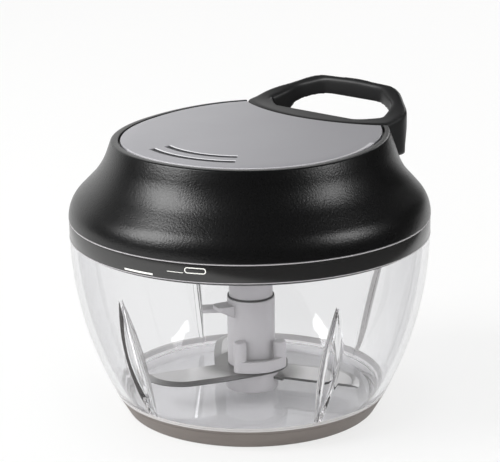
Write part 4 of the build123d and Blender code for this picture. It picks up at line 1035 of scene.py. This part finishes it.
def makeCord(look):
    steps = round((look["wrapLast"] - look["wrapFirst"]) / look["wrapStep"])
    points = [onCircle(look["turnRadius"], look["wrapFirst"] + look["wrapStep"] * step, look["height"])
              for step in range(steps + 1)]
    points += [(x, 0.0, look["height"]) for x in look["run"]]
    return tubeAlong("pullCord", points, look["radius"], resolution=8)


def makeWinding(look, name, radius):
    count = round(look["windingTurns"] * look["turnPoints"])
    points = [onCircle(radius, 360 * step / look["turnPoints"],
                       look["windingLow"] + look["windingPitch"] * step / look["turnPoints"])
              for step in range(count + 1)]
    return tubeAlong(name, points, look["radius"])


def makeKnot(look):
    points = []
    for step in range(look["knotPoints"]):
        turn = 2 * math.pi * step / look["knotPoints"]
        points.append((look["knotMiddle"] - look["knotDeep"] * math.sin(3 * turn),
                       look["knotWide"] * (math.sin(turn) + 2 * math.sin(2 * turn)) / 3,
                       look["height"] + look["knotWide"] * (math.cos(turn) - 2 * math.cos(2 * turn)) / 3))
    return tubeAlong("cordKnot", points, look["knotTube"], loop=True)


pullCord = makeCord(cordLook)
pullCord.data.materials.append(finishes["cord_white"])
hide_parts("pull_cord")
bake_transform(pullCord)
settle(makeWinding(cordLook, "cordWindingOuter", cordLook["windingRadius"]),
       "reel_body", "cord_white", "cord_winding")
settle(makeWinding(cordLook, "cordWindingInner", cordLook["innerRadius"]), "reel_body", "cord_white")
settle(makeKnot(cordLook), "handle_body", "cord_white", "cord_knot")

# dark seam ring on top of the blade column
seamRing = {"inner": 8.7, "outer": 9.25, "low": 44.45, "high": 45.15}


def makeSeamRing(look):
    return smoothed(lathe("columnSeam", roundedProfile([
        (look["inner"], look["low"], 0.1, 2), (look["outer"], look["low"], 0.2, 3),
        (look["outer"], look["high"], 0.2, 3), (look["inner"], look["high"], 0.1, 2)]), 96, True))


settle(makeSeamRing(seamRing), "blade_body", "seal_silicone")
print("pieces modelled")

# studio: floor, soft lamps and a pale surround
studio = {
    "floorSize": 6.0, "floorColour": rgb(0.86, 0.86, 0.855), "floorRough": 0.5,
    "mottleScale": 9.0, "mottleRough": 0.04,
    "dark": rgb(0.03, 0.03, 0.03), "card": rgb(0.96, 0.96, 0.955), "seenColour": rgb(0.96, 0.96, 0.955),
    "ambientLow": rgb(2.95, 2.95, 2.97), "ambientHigh": rgb(0.40, 0.40, 0.405), "lowEdge": (0.36, 0.56),
    "paleShare": 0.75, "clearShare": 0.98, "flagEdge": (-0.16, -0.08), "flagShare": 0.97,
    "cardSide": (0.50, 0.866), "cardNear": 0.66, "cardFar": 0.92, "cardLow": 0.30, "cardHigh": 0.65,
}
lamps = {
    "leftBox": {"angle": 149.0, "rise": 38.0, "distance": 1.4,
                "size": (0.72, 0.80), "power": 16.0, "fill": True},
    "rightBox": {"angle": 292.0, "rise": 33.0, "distance": 1.4,
                 "size": (0.50, 0.50), "power": 5.0, "fill": False},
    "backBox": {"angle": 15.0, "rise": 24.0, "distance": 1.4,
                "size": (0.40, 0.40), "power": 1.6, "fill": True},
}
lampAim = Vector((0, 0, 0.08))


# the camera sees the floor mostly pale, under a soft shadow; gloss sees a dark flag lying in front
def addFloor(look):
    deselectAll()
    bpy.ops.mesh.primitive_plane_add(size=look["floorSize"], location=(0, 0, 0))
    floor = bpy.context.active_object
    floor.name = "studioFloor"
    material, graph = newFinish("studioFloor")
    mottle = graph.noise(look["mottleScale"], 2.0)
    body = graph.principled({
        "Base Color": look["floorColour"], "Roughness": look["floorRough"] + look["mottleRough"] * mottle})
    seen, through, gloss = graph.rays("Is Camera Ray", "Is Transmission Ray", "Is Glossy Ray")
    y = graph.axes(graph.add("ShaderNodeTexCoord", output=3))[1]
    behind = graph.slope(y, *look["flagEdge"])
    pale = graph.add("ShaderNodeEmission", None, {"Color": look["seenColour"]})
    flag = graph.add("ShaderNodeEmission", None, {"Color": look["dark"]})
    share = seen.maths("MAXIMUM", seen.maths("MAXIMUM", seen, gloss * behind) * look["paleShare"],
                       through * look["clearShare"])
    lifted = graph.add("ShaderNodeMixShader", None, {0: share, 1: body, 2: pale})
    flagged = graph.add("ShaderNodeMixShader", None,
                        {0: gloss * (1 - through) * (1 - behind) * look["flagShare"], 1: lifted, 2: flag})
    floor.data.materials.append(closeFinish(material, graph, flagged))


def addLamps(setUp):
    for name, look in setUp.items():
        data = bpy.data.lights.new(name, "AREA")
        data.shape = "RECTANGLE"
        data.size, data.size_y = look["size"]
        data.energy = look["power"]
        lamp = bpy.data.objects.new(name, data)
        lamp.visible_diffuse = look["fill"]  # the right box only gives a sheen
        bpy.context.scene.collection.objects.link(lamp)
        turn, rise = math.radians(look["angle"]), math.radians(look["rise"])
        outward = Vector((math.cos(turn) * math.cos(rise), math.sin(turn) * math.cos(rise), math.sin(rise)))
        lamp.location = lampAim + outward * look["distance"]
        lamp.rotation_euler = (-outward).to_track_quat("-Z", "Y").to_euler()


# gloss sees a dim studio with a pale card behind the object; the camera, and sight through the bowl,
# see the pale backdrop everywhere
def addWorld(look):
    world = bpy.data.worlds.new("studioWorld")
    bpy.context.scene.world = world
    world.use_nodes = True
    graph = Graph(world.node_tree)
    x, y, z = graph.axes(graph.add("ShaderNodeTexCoord", output=0))
    behind = graph.slope(x * look["cardSide"][0] + y * look["cardSide"][1], look["cardNear"], look["cardFar"])
    card = behind * (1 - graph.slope(z, look["cardLow"], look["cardHigh"]))
    seen, through, gloss = graph.rays("Is Camera Ray", "Is Transmission Ray", "Is Glossy Ray")
    ambient = graph.mixed(graph.slope(z, *look["lowEdge"]), look["ambientLow"], look["ambientHigh"])
    lit = graph.mixed(gloss, ambient, graph.mixed(card, look["dark"], look["card"]))
    colour = graph.mixed(seen.maths("MAXIMUM", seen, through), lit, look["seenColour"])
    world.cycles.sampling_method = "NONE"
    graph.add("ShaderNodeOutputWorld", None, {
        "Surface": graph.add("ShaderNodeBackground", None, {"Color": colour})})


addFloor(studio)
addLamps(lamps)
addWorld(studio)
bpy.context.scene.view_settings.view_transform = "Standard"
print("studio set")
